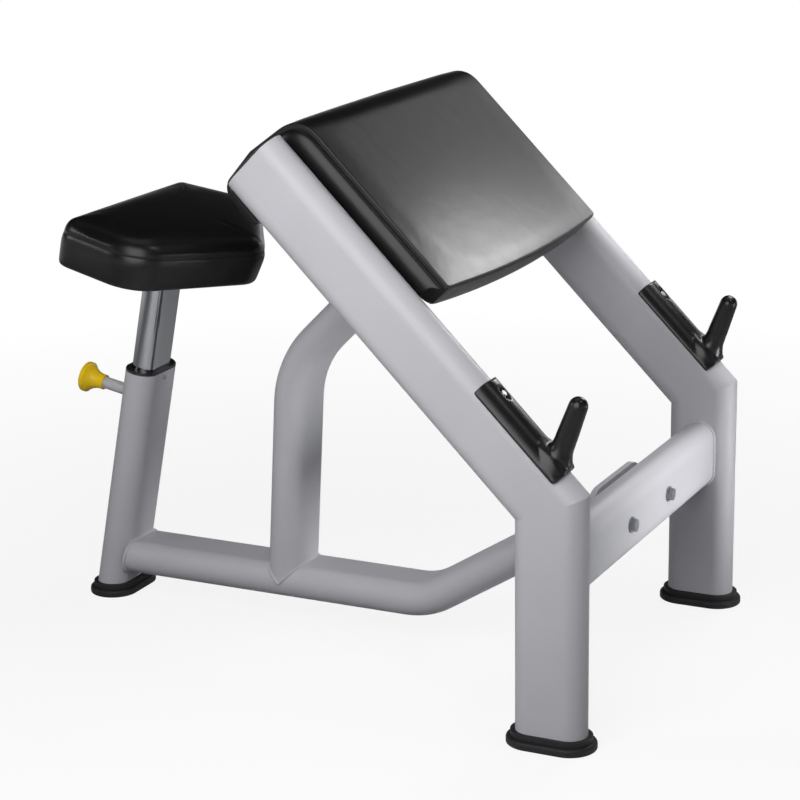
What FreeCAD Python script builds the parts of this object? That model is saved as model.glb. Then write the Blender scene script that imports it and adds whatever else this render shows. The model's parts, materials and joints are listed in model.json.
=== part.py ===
import FreeCAD, Part
import math
import os
import Sketcher

# Preacher curl bench: two flat-oval side frames, a cross beam, a bent spine tube with an upright,
# a wrap-over arm pad, two moulded bar rests and a seat on an inclined post with a pull pin.
# X runs across the bench, +Y points to the seat, +Z is up. All lengths are millimetres.

doc = FreeCAD.newDocument("preacher_bench")
sheet = doc.addObject("Spreadsheet::Sheet", "Sizes")

SIZES = [
    ("tube_wide", 120, "flat-oval tube, long way across"),
    ("tube_thick", 60, "flat-oval tube, short way across"),
    ("tube_wall", 3, "wall of every frame tube"),
    ("side_offset", 360, "middle plane of the bench to the middle of a side frame"),
    ("leg_y", -502.83, "middle of the front legs along Y"),
    ("knee_z", 394, "height where the leg and rail centre lines meet"),
    ("rail_angle", 45, "degrees the rails rise toward the seat"),
    ("rail_length", 715, "knee to the square upper end of the rail"),
    ("foot_height", 22, "floor to the bottom of the tubes"),
    ("foot_lip", 15, "rubber foot beyond the tube"),
    ("foot_base", 13, "height of the wide step of the foot"),
    ("foot_step", 8, "upper step of the foot beyond the tube"),
    ("foot_round", 5, "rounding of the wide step"),
    ("foot_edge", 2, "rounding of the floor edge and the upper step"),
    ("foot_plug", 22, "plug of the foot inside the leg"),
    ("foot_plug_gap", 0.4, "gap round that plug"),
    ("rear_plug", 9, "plug of the rear foot inside the leaning post"),
    ("rear_plug_gap", 3.5, "gap round the rear plug"),
    ("cap_thick", 4, "end cap outside the rail"),
    ("cap_round", 3, "rounding of the end cap"),
    ("cap_plug", 18, "end cap inside the rail"),
    ("cap_gap", 0.4, "gap round the end cap plug"),
    ("beam_z", 286, "height of the cross beam"),
    ("flange_end", 18, "flange bolt to the arc centre of the plate"),
    ("flange_flat", "=2 * (flange_bolt_x - flange_end)", "oval flange plate between its arc centres"),
    ("flange_radius", 52, "end radius of the flange plate"),
    ("flange_thick", 10, "flange plate thickness"),
    ("flange_bolt_out", 30, "flange bolt beside the spine tube"),
    ("flange_bolt_x", "=tube_wide / 2 + flange_bolt_out", "flange bolts from the middle plane"),
    ("flange_bolt_radius", 6, "flange bolt shank"),
    ("flange_bolt_gap", 0.5, "hole beyond the flange bolt shank"),
    ("flange_bolt_rest", 4, "thread past the nut"),
    ("flange_head_across", 19, "flange bolt and nut across the flats"),
    ("flange_head_thick", 7.5, "flange bolt head"),
    ("flange_nut_thick", 10, "flange nut"),
    ("flange_washer_radius", 13.5, "flange washer"),
    ("flange_washer_thick", 2.5, "flange washer thickness"),
    ("beam_spacer_radius", 9, "spacer tube round each bolt inside the beam"),
    ("spine_z", 74, "height of the flat run of the spine tube"),
    ("spine_rise", 32, "degrees the front of the spine rises"),
    ("spine_bend", 130, "centre line radius of the spine bend"),
    ("spine_overrun", 40, "spine beyond the beam before its end is trimmed"),
    ("upright_y", 147.67, "upright on the spine centre line"),
    ("upright_lean", 3.5, "degrees the upright leans forward"),
    ("upright_bend", 180, "centre line radius of the upright bend"),
    ("cross_s", 500, "pad cross tube along the rail"),
    ("cross_n", 8, "pad cross tube above the rail centre line"),
    ("strap_x", 150, "pad strap from the middle plane"),
    ("strap_wide", 40, "pad strap width"),
    ("strap_thick", 6, "pad strap thickness"),
    ("chest_setback", 61, "chest board face back from the end of the rail"),
    ("chest_face_s", "=rail_length - chest_setback", "face that carries the chest board, along the rail"),
    ("strap_bend", 9, "outer bend radius of the strap"),
    ("strap_short", 5, "lower end of the strap short of the arm board"),
    ("strap_start_s", "=arm_board_low_s + strap_short", "lower end of the pad strap along the rail"),
    ("strap_end_n", -88, "end of the chest leg of the strap"),
    ("strap_bolt_inset", 27, "lower pad bolt from the lower end of the strap"),
    ("strap_bolt_low_s", "=strap_start_s + strap_bolt_inset", "lower pad bolt along the rail"),
    ("strap_bolt_setback", 50, "upper pad bolt from the chest board"),
    ("strap_bolt_high_s", "=chest_face_s - strap_bolt_setback", "upper pad bolt along the rail"),
    ("strap_bolt_near_n", 5, "nearer chest bolt"),
    ("strap_bolt_far_n", -62, "farther chest bolt"),
    ("pad_bolt_radius", 4, "pad and seat bolt shank"),
    ("pad_bolt_gap", 0.5, "hole beyond that shank"),
    ("pad_head_radius", 8, "pad and seat bolt head"),
    ("pad_head_thick", 4.5, "pad and seat bolt head height"),
    ("pad_head_round", 2.5, "rounding of that head"),
    ("pad_socket_radius", 2.5, "socket in that head"),
    ("pad_socket_depth", 2.6, "depth of the socket"),
    ("nut_barrel_radius", 5.5, "barrel of the tee nut"),
    ("nut_flange_radius", 10, "flange of the tee nut"),
    ("nut_flange_thick", 1.6, "flange thickness of the tee nut"),
    ("nut_bore_gap", 0.05, "tee nut bore beyond the shank"),
    ("nut_short", 1, "tee nut short of the outer face of the board"),
    ("board_thick", 12, "plywood boards under the upholstery"),
    ("board_side", 26, "boards short of the ends of the arm pad"),
    ("arm_board_half", "=pad_half - board_side", "half width of the arm board and chest board"),
    ("board_low", 32, "arm board short of the lower edge of the pad"),
    ("arm_board_low_s", "=pad_low_s + board_low", "lower edge of the arm board"),
    ("board_over", 34, "arm board beyond the chest board face"),
    ("arm_board_high_s", "=chest_face_s + board_over", "upper edge of the arm board"),
    ("chest_board_low_n", -92, "lower edge of the chest board"),
    ("chest_board_gap", 4, "chest board short of the arm board"),
    ("chest_board_high_n", "=pad_under_n - chest_board_gap", "upper edge of the chest board"),
    ("pad_side_gap", 8, "arm pad clear of the rails"),
    ("pad_half", "=side_offset - tube_thick / 2 - pad_side_gap", "half width of the arm pad"),
    ("pad_low_s", 346, "lower edge of the arm pad at the middle plane"),
    ("pad_low_sweep", 15, "how far the lower edge rises toward its ends"),
    ("pad_under_n", "=cross_n + tube_thick / 2 + strap_thick", "underside of the arm pad over the rail line"),
    ("pad_thick", 45, "arm pad over its board face at the sides"),
    ("pad_top_n", "=pad_under_n + pad_thick", "arm surface above the rail centre line at the sides"),
    ("pad_crown", 6, "extra height of the arm surface at the middle plane"),
    ("pad_end_over", 9, "arm surface beyond the end of the rail"),
    ("pad_end_s", "=rail_length + pad_end_over", "upper end of the arm surface"),
    ("pad_nose_over", 29, "chest nose beyond the end of the rail"),
    ("pad_nose_s", "=rail_length + pad_nose_over", "farthest point of the chest nose"),
    ("pad_nose_n", -22, "height of that point"),
    ("pad_tail_over", 22, "lower end of the nose beyond the end of the rail"),
    ("pad_tail_s", "=rail_length + pad_tail_over", "lower end of the chest nose along the rail"),
    ("pad_tail_n", -107, "lower end of the chest nose"),
    ("pad_low_round", 8, "rounding of the lower front edge"),
    ("pad_end_round", 26, "rounding over the upper end"),
    ("pad_tail_round", 26, "rounding under the nose"),
    ("pad_inner_round", 7, "rounding of the edges round the boards"),
    ("pad_side_draw", 11, "how far the ends of the pad are drawn in"),
    ("pad_side_round", 14, "width of that rounding"),
    ("rest_low_s", 23, "lower end of the bar rest along the rail"),
    ("rest_high_s", 209, "upper end of the bar rest"),
    ("rest_side", 5, "skirts outside the rail"),
    ("rest_half", "=tube_thick / 2 + rest_side", "half width of the bar rest"),
    ("rest_skirt_drop", 18, "skirts below the top of the rail"),
    ("rest_skirt_n", "=tube_wide / 2 - rest_skirt_drop", "lower edge of the skirts"),
    ("rest_top_rise", 8, "saddle above the top of the rail"),
    ("rest_top_n", "=tube_wide / 2 + rest_top_rise", "top of the saddle"),
    ("rest_shoulder", 14, "rounding from the saddle top to the skirts"),
    ("rest_corner", 5, "rounding of the ends of the saddle"),
    ("horn_base_s", 45, "horn axis at its base along the rail"),
    ("horn_base_drop", 5, "base point of the horn below the top of the rail"),
    ("horn_base_n", "=tube_wide / 2 - horn_base_drop", "horn axis at its base"),
    ("horn_lean", 25, "degrees the horn leans from square to the rail"),
    ("horn_length", 101, "base to the middle of the round tip"),
    ("horn_tip_radius", 15.5, "round tip of the horn"),
    ("horn_neck_radius", 17.5, "horn above its flare"),
    ("horn_foot_radius", 23.5, "foot of the flare"),
    ("horn_foot_height", 8, "straight foot under the flare"),
    ("horn_flare_height", 46, "top of the flare"),
    ("horn_flare_sag", 2.4, "hollow of the flare"),
    ("horn_sink", 16, "horn below its base point, trimmed by the rail"),
    ("rest_slot_s", 179, "screw slot along the rail"),
    ("rest_slot_flat", 12, "screw slot between its arc centres"),
    ("rest_slot_radius", 7.5, "recess round the screw head"),
    ("rest_slot_depth", 4.5, "depth of the recess"),
    ("rest_screw_radius", 3, "bar rest screw shank"),
    ("rest_screw_gap", 0.4, "slot and hole beyond the shank"),
    ("rest_screw_head", 6, "bar rest screw head radius"),
    ("rest_screw_head_thick", 3.2, "bar rest screw head height"),
    ("rest_screw_length", 18, "bar rest screw below the head"),
    ("rest_nut_across", 10, "weld nut across the flats"),
    ("rest_nut_thick", 5, "weld nut"),
    ("rest_nut_drop", 3.7, "weld nut below the top of the rail"),
    ("rest_peg_radius", 6, "locating peg under the bar rest"),
    ("rest_peg_gap", 0.3, "hole in the rail beyond the peg"),
    ("rest_peg_drop", 14, "peg below the top of the rail"),
    ("rest_peg_n", "=tube_wide / 2 - rest_peg_drop", "lower end of the peg"),
    ("post_base_y", 511.17, "seat post axis at the bottom of the tube"),
    ("post_lean", 11, "degrees the seat post leans forward"),
    ("sleeve_length", 418, "post sleeve along its axis"),
    ("bushing_length", 80, "plastic bushing inside the sleeve"),
    ("bushing_rim", 5, "bushing rim above the sleeve"),
    ("bushing_round", 2, "rounding of the rim"),
    ("bushing_gap", 0.5, "sliding gap round the inner post"),
    ("bushing_screw_drop", 11, "bushing screw below the top of the sleeve"),
    ("bushing_screw_t", "=sleeve_length - bushing_screw_drop", "bushing screw along the post"),
    ("bushing_screw_radius", 2, "bushing screw shank"),
    ("bushing_screw_gap", 0.2, "hole beyond the bushing screw"),
    ("bushing_screw_head", 4.5, "bushing screw head radius"),
    ("bushing_screw_thick", 2.6, "bushing screw head height"),
    ("bushing_screw_length", 6, "bushing screw below the head"),
    ("bushing_side", 12, "room for the bushing at each side of the inner post"),
    ("inner_wide", "=tube_wide - 2 * (tube_wall + bushing_side)", "chromed inner post, long way across"),
    ("bushing_front", 4.5, "room for the bushing before and behind it"),
    ("inner_thick", "=tube_thick - 2 * (tube_wall + bushing_front)", "chromed inner post, short way across"),
    ("inner_wall", 2.5, "inner post wall"),
    ("inner_length", 400, "inner post length"),
    ("inner_rise", 204, "inner post out of the sleeve at rest"),
    ("inner_top_t", "=sleeve_length + inner_rise", "top of the inner post along the post axis"),
    ("glide_thick", 15, "glide plug outside the inner post"),
    ("glide_stem", 25, "glide plug inside the inner post"),
    ("glide_gap", 0.5, "glide plug to the sleeve"),
    ("pin_drop", 58, "pull pin below the top of the sleeve"),
    ("pin_t", "=sleeve_length - pin_drop", "pull pin along the post axis"),
    ("pin_pitch", 30, "distance between the height holes"),
    ("pin_hole_count", 7, "height holes in the inner post"),
    ("pin_hole_low", "=pin_t - pin_pitch", "lowest height hole at rest along the post axis"),
    ("pin_radius", 6, "pull pin tip"),
    ("pin_hole_gap", 0.4, "holes beyond the pin tip"),
    ("pin_stand_off", 0.6, "pin tip clear of the inner post at rest"),
    ("pin_running_gap", 0.05, "running gap of the pin in its barrel"),
    ("barrel_radius", 11, "pin barrel"),
    ("barrel_length", 62, "pin barrel behind the sleeve"),
    ("barrel_end", "=tube_thick / 2 + barrel_length", "rear end of the barrel from the post axis"),
    ("barrel_bore_radius", 8.5, "spring chamber"),
    ("barrel_nose", 6, "guide length at each end of the barrel"),
    ("collar_back", 46, "pin collar from the rear end of the barrel"),
    ("collar_start", "=barrel_end - collar_back", "pin collar from the post axis"),
    ("collar_thick", 4, "pin collar thickness"),
    ("collar_radius", 7.8, "pin collar"),
    ("rod_radius", 4, "pin rod"),
    ("rod_short", 10, "rod short of the end of the knob"),
    ("rod_end", "=knob_end - rod_short", "end of the rod in the knob"),
    ("spring_radius", 6.3, "mean radius of the spring"),
    ("spring_wire", 0.8, "radius of the spring wire"),
    ("spring_room", 11, "pin collar to the spring"),
    ("spring_start", "=collar_start + collar_thick + spring_room", "inner end of the spring"),
    ("spring_pitch", 3, "spring pitch"),
    ("spring_gap", 0.4, "spring clear of the barrel end"),
    ("knob_overlap", 2, "knob over the barrel"),
    ("knob_start", "=barrel_end - knob_overlap", "neck of the knob from the post axis"),
    ("knob_length", 46, "length of the knob"),
    ("knob_end", "=knob_start + knob_length", "end of the knob"),
    ("knob_neck_radius", 14, "knob neck"),
    ("knob_neck_length", 8, "straight neck of the knob"),
    ("knob_bell_radius", 28, "widest part of the knob"),
    ("knob_bell_back", 12, "widest part of the knob from its end"),
    ("knob_bell_start", "=knob_end - knob_bell_back", "where the flare reaches its widest part"),
    ("knob_bell_length", 6, "straight edge of the bell"),
    ("knob_flare_radius", 40, "hollow of the trumpet flare"),
    ("knob_rim_radius", 3.2, "rounding of the rim of the knob"),
    ("knob_dome", 3, "height of the dome on the end of the knob"),
    ("knob_socket_gap", 0.5, "neck bore beyond the barrel"),
    ("knob_socket_depth", 13, "depth of the neck bore"),
    ("seat_plate_x", 100, "half width of the seat plate"),
    ("seat_plate_y", 70, "half depth of the seat plate"),
    ("seat_plate_thick", 6, "seat plate thickness"),
    ("seat_plate_round", 12, "seat plate corners"),
    ("seat_bolt_side", 22, "seat bolts from the sides of the plate"),
    ("seat_bolt_x", "=seat_plate_x - seat_bolt_side", "seat bolts from the middle plane"),
    ("seat_bolt_edge", 20, "seat bolts from the front and rear of the plate"),
    ("seat_bolt_y", "=seat_plate_y - seat_bolt_edge", "seat bolts from the post axis"),
    ("seat_rear_x", 201, "rear corners of the seat from the middle plane"),
    ("seat_rear_v", 111.4, "rear corners of the seat behind the post axis"),
    ("seat_rear_round", 35, "rounding of the rear corners in plan"),
    ("seat_side_x", 229.5, "widest corners of the seat from the middle plane"),
    ("seat_side_v", -65, "widest corners of the seat along the bench"),
    ("seat_side_round", 80, "rounding of the widest corners in plan"),
    ("seat_nose_v", -200.2, "nose of the seat before the post axis"),
    ("seat_nose_round", 43, "rounding of the nose in plan"),
    ("seat_nose_draw", 14.5, "nose drawn back at the underside of the seat"),
    ("seat_least_round", 8, "least rounding of the outline on the crown"),
    ("seat_hem", 4, "lower edge of the seat drawn in"),
    ("seat_thick", 91, "seat cushion without its crown"),
    ("seat_edge", 36, "rounding of the upper edge of the seat"),
    ("seat_edge_turn", 80, "degrees of that rounding before the crown"),
    ("seat_crown", 5.8, "crown above that rounding"),
    ("seat_crown_reach", 66, "width of the crown inside that rounding"),
    ("seat_board_rear", 30, "seat board inside the rear corners"),
    ("seat_board_side", 42, "seat board inside the widest corners"),
    ("seat_board_lift", 18, "widest corners of the board behind those of the seat"),
    ("seat_board_nose", 32, "half width of the front edge of the seat board"),
    ("seat_board_back", 60, "front edge of the seat board behind the nose"),
]
for row, (name, value, note) in enumerate(SIZES, start=1):
    sheet.set(f"A{row}", note)
    sheet.set(f"B{row}", str(value))
    sheet.setAlias(f"B{row}", name)
doc.recompute()

vec = FreeCAD.Vector
X_AXIS = vec(1, 0, 0)
# An edge counts as lying at a place when it is no farther from it than this.
NEAR = 0.05
NODES = []


def size(name):
    return float(sheet.get(name))


def turned(degrees):
    return math.cos(math.radians(degrees)), math.sin(math.radians(degrees))


def frame(base, x_dir, z_dir):
    """Placement whose local X and Z point along the two given directions."""
    return FreeCAD.Placement(base, FreeCAD.Rotation(x_dir, z_dir.cross(x_dir), z_dir, "ZXY"))


RAIL_COS, RAIL_SIN = turned(size("rail_angle"))
RAIL_ALONG = vec(0, RAIL_COS, RAIL_SIN)
RAIL_UP = vec(0, -RAIL_SIN, RAIL_COS)
POST_COS, POST_SIN = turned(size("post_lean"))
POST_UP = vec(0, -POST_SIN, POST_COS)
POST_BACK = vec(0, POST_COS, POST_SIN)


def rail_point(across, along, up):
    """A point given across the bench, along the rail from the knee, and square to the rail."""
    return vec(across, size("leg_y"), size("knee_z")) + RAIL_ALONG * along + RAIL_UP * up


def post_point(across, along, back):
    """A point given across the bench, up the post axis, and back from that axis."""
    return vec(across, size("post_base_y"), size("foot_height")) + POST_UP * along + POST_BACK * back


def rail_frame(across):
    """Local X up the rail, local Y square to it, local Z across the bench."""
    return frame(rail_point(across, 0, 0), RAIL_ALONG, X_AXIS)


def post_frame():
    """Local X across the bench, local Y back from the post axis, local Z up the post."""
    return frame(post_point(0, 0, 0), X_AXIS, POST_UP)


def pin_frame():
    """Local Z along the pull pin, pointing away from the post."""
    return frame(post_point(0, size("pin_t"), 0), X_AXIS, POST_BACK)


def node(obj, label, placement=None):
    """Keep an object as one exported piece."""
    obj.Label = label
    if placement is not None:
        obj.Placement = placement
    NODES.append(obj)
    return obj


def new_body(name):
    return doc.addObject("PartDesign::Body", name)


def new_sketch(body, role="XY_Plane", offset=None, shift=None):
    """Sketch on an origin plane of its body; offset is an expression along the plane's normal."""
    sketch = body.newObject("Sketcher::SketchObject", f"{body.Name}_sketch")
    plane = next(item for item in body.Origin.OriginFeatures if item.Role == role)
    sketch.AttachmentSupport = [(plane, "")]
    sketch.MapMode = "FlatFace"
    if offset is not None:
        sketch.setExpression("AttachmentOffset.Base.z", offset)
    if shift is not None:
        sketch.setExpression("AttachmentOffset.Base.y", shift)
    return sketch


def bind(sketch, constraint, expression):
    index = sketch.addConstraint(constraint)
    sketch.setExpression(f"Constraints[{index}]", expression)


def pin_point(sketch, geometry, position, x, y):
    """Hold one sketch point at expressions measured from the sketch origin."""
    for kind, expression, axis in (("DistanceX", x, -2), ("DistanceY", y, -1)):
        if expression == "0":
            sketch.addConstraint(Sketcher.Constraint("PointOnObject", geometry, position, axis))
        else:
            value = sketch.evalExpression(expression)
            bind(sketch, Sketcher.Constraint(kind, -1, 1, geometry, position, value), expression)


def add_oval(sketch, flat, radius):
    """Flat oval about the sketch origin with its long way along the sketch X axis."""
    half = sketch.evalExpression(flat) / 2
    rad = sketch.evalExpression(radius)
    quarter = math.pi / 2
    shapes = [
        Part.LineSegment(vec(-half, rad, 0), vec(half, rad, 0)),
        Part.ArcOfCircle(Part.Circle(vec(half, 0, 0), vec(0, 0, 1), rad), -quarter, quarter),
        Part.LineSegment(vec(half, -rad, 0), vec(-half, -rad, 0)),
        Part.ArcOfCircle(Part.Circle(vec(-half, 0, 0), vec(0, 0, 1), rad), quarter, 3 * quarter),
    ]
    top, right, bottom, left = [sketch.addGeometry(item) for item in shapes]
    sketch.addConstraint(Sketcher.Constraint("Tangent", top, 2, right, 2))
    sketch.addConstraint(Sketcher.Constraint("Tangent", right, 1, bottom, 1))
    sketch.addConstraint(Sketcher.Constraint("Tangent", bottom, 2, left, 2))
    sketch.addConstraint(Sketcher.Constraint("Tangent", left, 1, top, 1))
    sketch.addConstraint(Sketcher.Constraint("Equal", right, left))
    sketch.addConstraint(Sketcher.Constraint("Horizontal", top))
    sketch.addConstraint(Sketcher.Constraint("Symmetric", right, 3, left, 3, -1, 1))
    bind(sketch, Sketcher.Constraint("Radius", right, rad), radius)
    bind(sketch, Sketcher.Constraint("DistanceX", left, 3, right, 3, 2 * half), flat)


def add_circle(sketch, x, y, radius):
    rad = sketch.evalExpression(radius)
    centre = vec(sketch.evalExpression(x), sketch.evalExpression(y), 0)
    circle = sketch.addGeometry(Part.Circle(centre, vec(0, 0, 1), rad))
    pin_point(sketch, circle, 3, x, y)
    bind(sketch, Sketcher.Constraint("Radius", circle, rad), radius)


def add_polygon(sketch, corners):
    """Closed outline through corners given as pairs of expressions."""
    points = [vec(sketch.evalExpression(x), sketch.evalExpression(y), 0) for x, y in corners]
    lines = []
    for start, end in zip(points, points[1:] + points[:1]):
        lines.append(sketch.addGeometry(Part.LineSegment(start, end)))
    for line, following in zip(lines, lines[1:] + lines[:1]):
        sketch.addConstraint(Sketcher.Constraint("Coincident", line, 2, following, 1))
    for line, (x, y) in zip(lines, corners):
        pin_point(sketch, line, 1, x, y)


def add_profile(sketch, corners):
    """Closed outline like a polygon; a corner with a radius starts an arc, bulging left or right."""
    points = [vec(sketch.evalExpression(item[0]), sketch.evalExpression(item[1]), 0) for item in corners]
    pieces = []
    for corner, start, end in zip(corners, points, points[1:] + points[:1]):
        if len(corner) == 2:
            pieces.append((sketch.addGeometry(Part.LineSegment(start, end)), 1, 2))
            continue
        radius = sketch.evalExpression(corner[2])
        chord = end - start
        left = vec(-chord.y, chord.x, 0)
        left.normalize()
        bulge = left if corner[3] == "left" else -left
        depth = radius - math.sqrt(radius ** 2 - (chord.Length / 2) ** 2)
        arc = sketch.addGeometry(Part.Arc(start, (start + end) / 2 + bulge * depth, end))
        pieces.append((arc, 2, 1) if corner[3] == "left" else (arc, 1, 2))
        bind(sketch, Sketcher.Constraint("Radius", arc, radius), corner[2])
    for piece, following in zip(pieces, pieces[1:] + pieces[:1]):
        meeting = (piece[0], piece[2], following[0], following[1])
        sketch.addConstraint(Sketcher.Constraint("Coincident", *meeting))
    for piece, corner in zip(pieces, corners):
        pin_point(sketch, piece[0], piece[1], corner[0], corner[1])


def add_hexagon(sketch, across):
    """Regular hexagon about the sketch origin."""
    corners = []
    for step in range(6):
        turn = f"({across}) / sqrt(3)"
        corners.append((f"{turn} * cos({60 * step + 30} deg)", f"{turn} * sin({60 * step + 30} deg)"))
    add_polygon(sketch, [("0" if step in (1, 4) else x, y) for step, (x, y) in enumerate(corners)])


def add_path(sketch, start, end, angles, radius):
    """Line, bend and line from start to end; angles are those of the two lines in degrees."""
    first = vec(sketch.evalExpression(start[0]), sketch.evalExpression(start[1]), 0)
    last = vec(sketch.evalExpression(end[0]), sketch.evalExpression(end[1]), 0)
    turn = [math.radians(sketch.evalExpression(angle)) for angle in angles]
    ways = [vec(math.cos(item), math.sin(item), 0) for item in turn]
    cross = ways[0].x * ways[1].y - ways[0].y * ways[1].x
    gap = last - first
    reach = (gap.x * ways[1].y - gap.y * ways[1].x) / cross
    corner = first + ways[0] * reach
    bend = sketch.evalExpression(radius)
    tangent = bend * math.tan(abs(turn[1] - turn[0]) / 2)
    arc_start = corner - ways[0] * tangent
    arc_end = corner + ways[1] * tangent
    side = 1 if cross > 0 else -1
    inward = vec(-ways[0].y, ways[0].x, 0) * side
    centre = arc_start + inward * bend
    middle_way = corner - centre
    middle_way.normalize()
    line_in = sketch.addGeometry(Part.LineSegment(first, arc_start))
    arc = sketch.addGeometry(Part.Arc(arc_start, centre + middle_way * bend, arc_end))
    line_out = sketch.addGeometry(Part.LineSegment(arc_end, last))
    arc_first, arc_last = (1, 2) if side > 0 else (2, 1)
    sketch.addConstraint(Sketcher.Constraint("Tangent", line_in, 2, arc, arc_first))
    sketch.addConstraint(Sketcher.Constraint("Tangent", arc, arc_last, line_out, 1))
    pin_point(sketch, line_in, 1, *start)
    pin_point(sketch, line_out, 2, *end)
    for line, angle, value in zip((line_in, line_out), angles, turn):
        bind(sketch, Sketcher.Constraint("Angle", line, value), f"({angle}) * 1 deg")
    bind(sketch, Sketcher.Constraint("Radius", arc, bend), radius)


def pad(body, sketch, length, symmetric=False, reverse=False):
    feature = body.newObject("PartDesign::Pad", f"{body.Name}_pad")
    feature.Profile = sketch
    feature.setExpression("Length", length)
    if symmetric:
        feature.SideType = "Symmetric"
    feature.Reversed = reverse
    sketch.Visibility = False
    return feature


def pocket(body, sketch, length=None, symmetric=False, reverse=False):
    feature = body.newObject("PartDesign::Pocket", f"{body.Name}_pocket")
    feature.Profile = sketch
    if length is None:
        feature.Type = "ThroughAll"
    else:
        feature.setExpression("Length", length)
    if symmetric:
        feature.SideType = "Symmetric"
    feature.Reversed = reverse
    sketch.Visibility = False
    return feature


def revolve(body, sketch):
    feature = body.newObject("PartDesign::Revolution", f"{body.Name}_turn")
    feature.Profile = sketch
    feature.ReferenceAxis = (sketch, ["V_Axis"])
    sketch.Visibility = False
    return feature


def fillet(body, base, radius, wanted):
    """Round the edges of a feature for which wanted(edge) is true."""
    doc.recompute()
    names = [f"Edge{i}" for i, edge in enumerate(base.Shape.Edges, start=1) if wanted(edge)]
    if not names:
        raise ValueError(f"no edge to round on {body.Name}")
    feature = body.newObject("PartDesign::Fillet", f"{body.Name}_round")
    feature.Base = (base, names)
    feature.setExpression("Radius", radius)
    return feature


def edges_at(height):
    """Edges that lie flat at a local height."""
    def wanted(edge):
        box = edge.BoundBox
        return abs(box.ZMin - height) < NEAR and abs(box.ZMax - height) < NEAR

    return wanted


def group(label, copies):
    """One piece made of separate solids: pairs of a drawn body and a placement."""
    shapes = []
    for source, placement in copies:
        shape = source.Shape.copy()
        shape.Placement = placement
        shapes.append(shape)
    feature = doc.addObject("Part::Feature", label)
    feature.Shape = Part.makeCompound(shapes)
    return node(feature, label)


OVAL_FLAT = "Sizes.tube_wide - Sizes.tube_thick"
OVAL_RADIUS = "Sizes.tube_thick / 2"
OVAL_BORE = "Sizes.tube_thick / 2 - Sizes.tube_wall"
INNER_SPAN = "2 * Sizes.side_offset - Sizes.tube_thick"
MITRE = "tan((90 - Sizes.rail_angle) / 2 * 1 deg)"
FLANGE_HOLE = "Sizes.flange_bolt_radius + Sizes.flange_bolt_gap"


def oval_tube(name, length, start="0", flat=OVAL_FLAT, radius=OVAL_RADIUS, bore=OVAL_BORE):
    """Straight flat-oval tube along local Z with its long way along local X."""
    body = new_body(name)
    sketch = new_sketch(body, offset=start)
    add_oval(sketch, flat, radius)
    add_oval(sketch, flat, bore)
    pad(body, sketch, length)
    return body


def side_legs():
    for side, sign in (("left", -1), ("right", 1)):
        rise = "Sizes.knee_z - Sizes.foot_height"
        body = oval_tube(f"leg_{side}", f"{rise} + Sizes.tube_wide")
        sketch = new_sketch(body, "XZ_Plane")
        add_polygon(sketch, [
            ("-Sizes.tube_wide", f"{rise} + Sizes.tube_wide * {MITRE}"),
            ("Sizes.tube_wide", f"{rise} - Sizes.tube_wide * {MITRE}"),
            ("Sizes.tube_wide", f"{rise} + 2 * Sizes.tube_wide"),
            ("-Sizes.tube_wide", f"{rise} + 2 * Sizes.tube_wide"),
        ])
        pocket(body, sketch, symmetric=True)
        base = vec(sign * size("side_offset"), size("leg_y"), size("foot_height"))
        node(body, f"leg_{side}", frame(base, vec(0, 1, 0), vec(0, 0, 1)))


def side_rails():
    for side, sign in (("left", -1), ("right", 1)):
        body = oval_tube(f"rail_{side}", "Sizes.rail_length + Sizes.tube_wide", "-Sizes.tube_wide")
        sketch = new_sketch(body, "XZ_Plane")
        add_polygon(sketch, [
            ("-Sizes.tube_wide", f"Sizes.tube_wide * {MITRE}"),
            ("Sizes.tube_wide", f"-Sizes.tube_wide * {MITRE}"),
            ("Sizes.tube_wide", "-2 * Sizes.tube_wide"),
            ("-Sizes.tube_wide", "-2 * Sizes.tube_wide"),
        ])
        pocket(body, sketch, symmetric=True)
        holes = new_sketch(body, "YZ_Plane")
        add_circle(holes, "0", "Sizes.rest_slot_s", "Sizes.rest_screw_radius + Sizes.rest_screw_gap")
        add_circle(holes, "0", "Sizes.horn_base_s", "Sizes.rest_peg_radius + Sizes.rest_peg_gap")
        pocket(body, holes, reverse=True)
        base = rail_point(sign * size("side_offset"), 0, 0)
        node(body, f"rail_{side}", frame(base, RAIL_UP, RAIL_ALONG))


def rail_caps():
    for side, sign in (("left", -1), ("right", 1)):
        body = new_body(f"rail_cap_{side}")
        disc = new_sketch(body)
        add_oval(disc, OVAL_FLAT, OVAL_RADIUS)
        outer = pad(body, disc, "Sizes.cap_thick")
        plug = new_sketch(body)
        add_oval(plug, OVAL_FLAT, f"{OVAL_BORE} - Sizes.cap_gap")
        body.Tip = outer
        inner = pad(body, plug, "Sizes.cap_plug", reverse=True)
        fillet(body, inner, "Sizes.cap_round", edges_at(size("cap_thick")))
        base = rail_point(sign * size("side_offset"), size("rail_length"), 0)
        node(body, f"rail_cap_{side}", frame(base, RAIL_UP, RAIL_ALONG))


def foot(label, placement, plug_height, plug_gap):
    body = new_body(label)
    wide = new_sketch(body)
    add_oval(wide, OVAL_FLAT, f"{OVAL_RADIUS} + Sizes.foot_lip")
    pad(body, wide, "Sizes.foot_base")
    step = new_sketch(body)
    add_oval(step, OVAL_FLAT, f"{OVAL_RADIUS} + Sizes.foot_step")
    pad(body, step, "Sizes.foot_height")
    plug = new_sketch(body)
    add_oval(plug, OVAL_FLAT, f"{OVAL_BORE} - {plug_gap}")
    solid = pad(body, plug, f"Sizes.foot_height + {plug_height}")
    top = edges_at(size("foot_base"))
    reach = size("tube_thick") / 2 + size("foot_lip") - size("foot_edge")

    def outer_rim(edge):
        return top(edge) and max(edge.BoundBox.YMax, -edge.BoundBox.YMin) > reach

    solid = fillet(body, solid, "Sizes.foot_round", outer_rim)
    fillet(body, solid, "Sizes.foot_edge", edges_at(0))
    node(body, label, placement)


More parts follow.
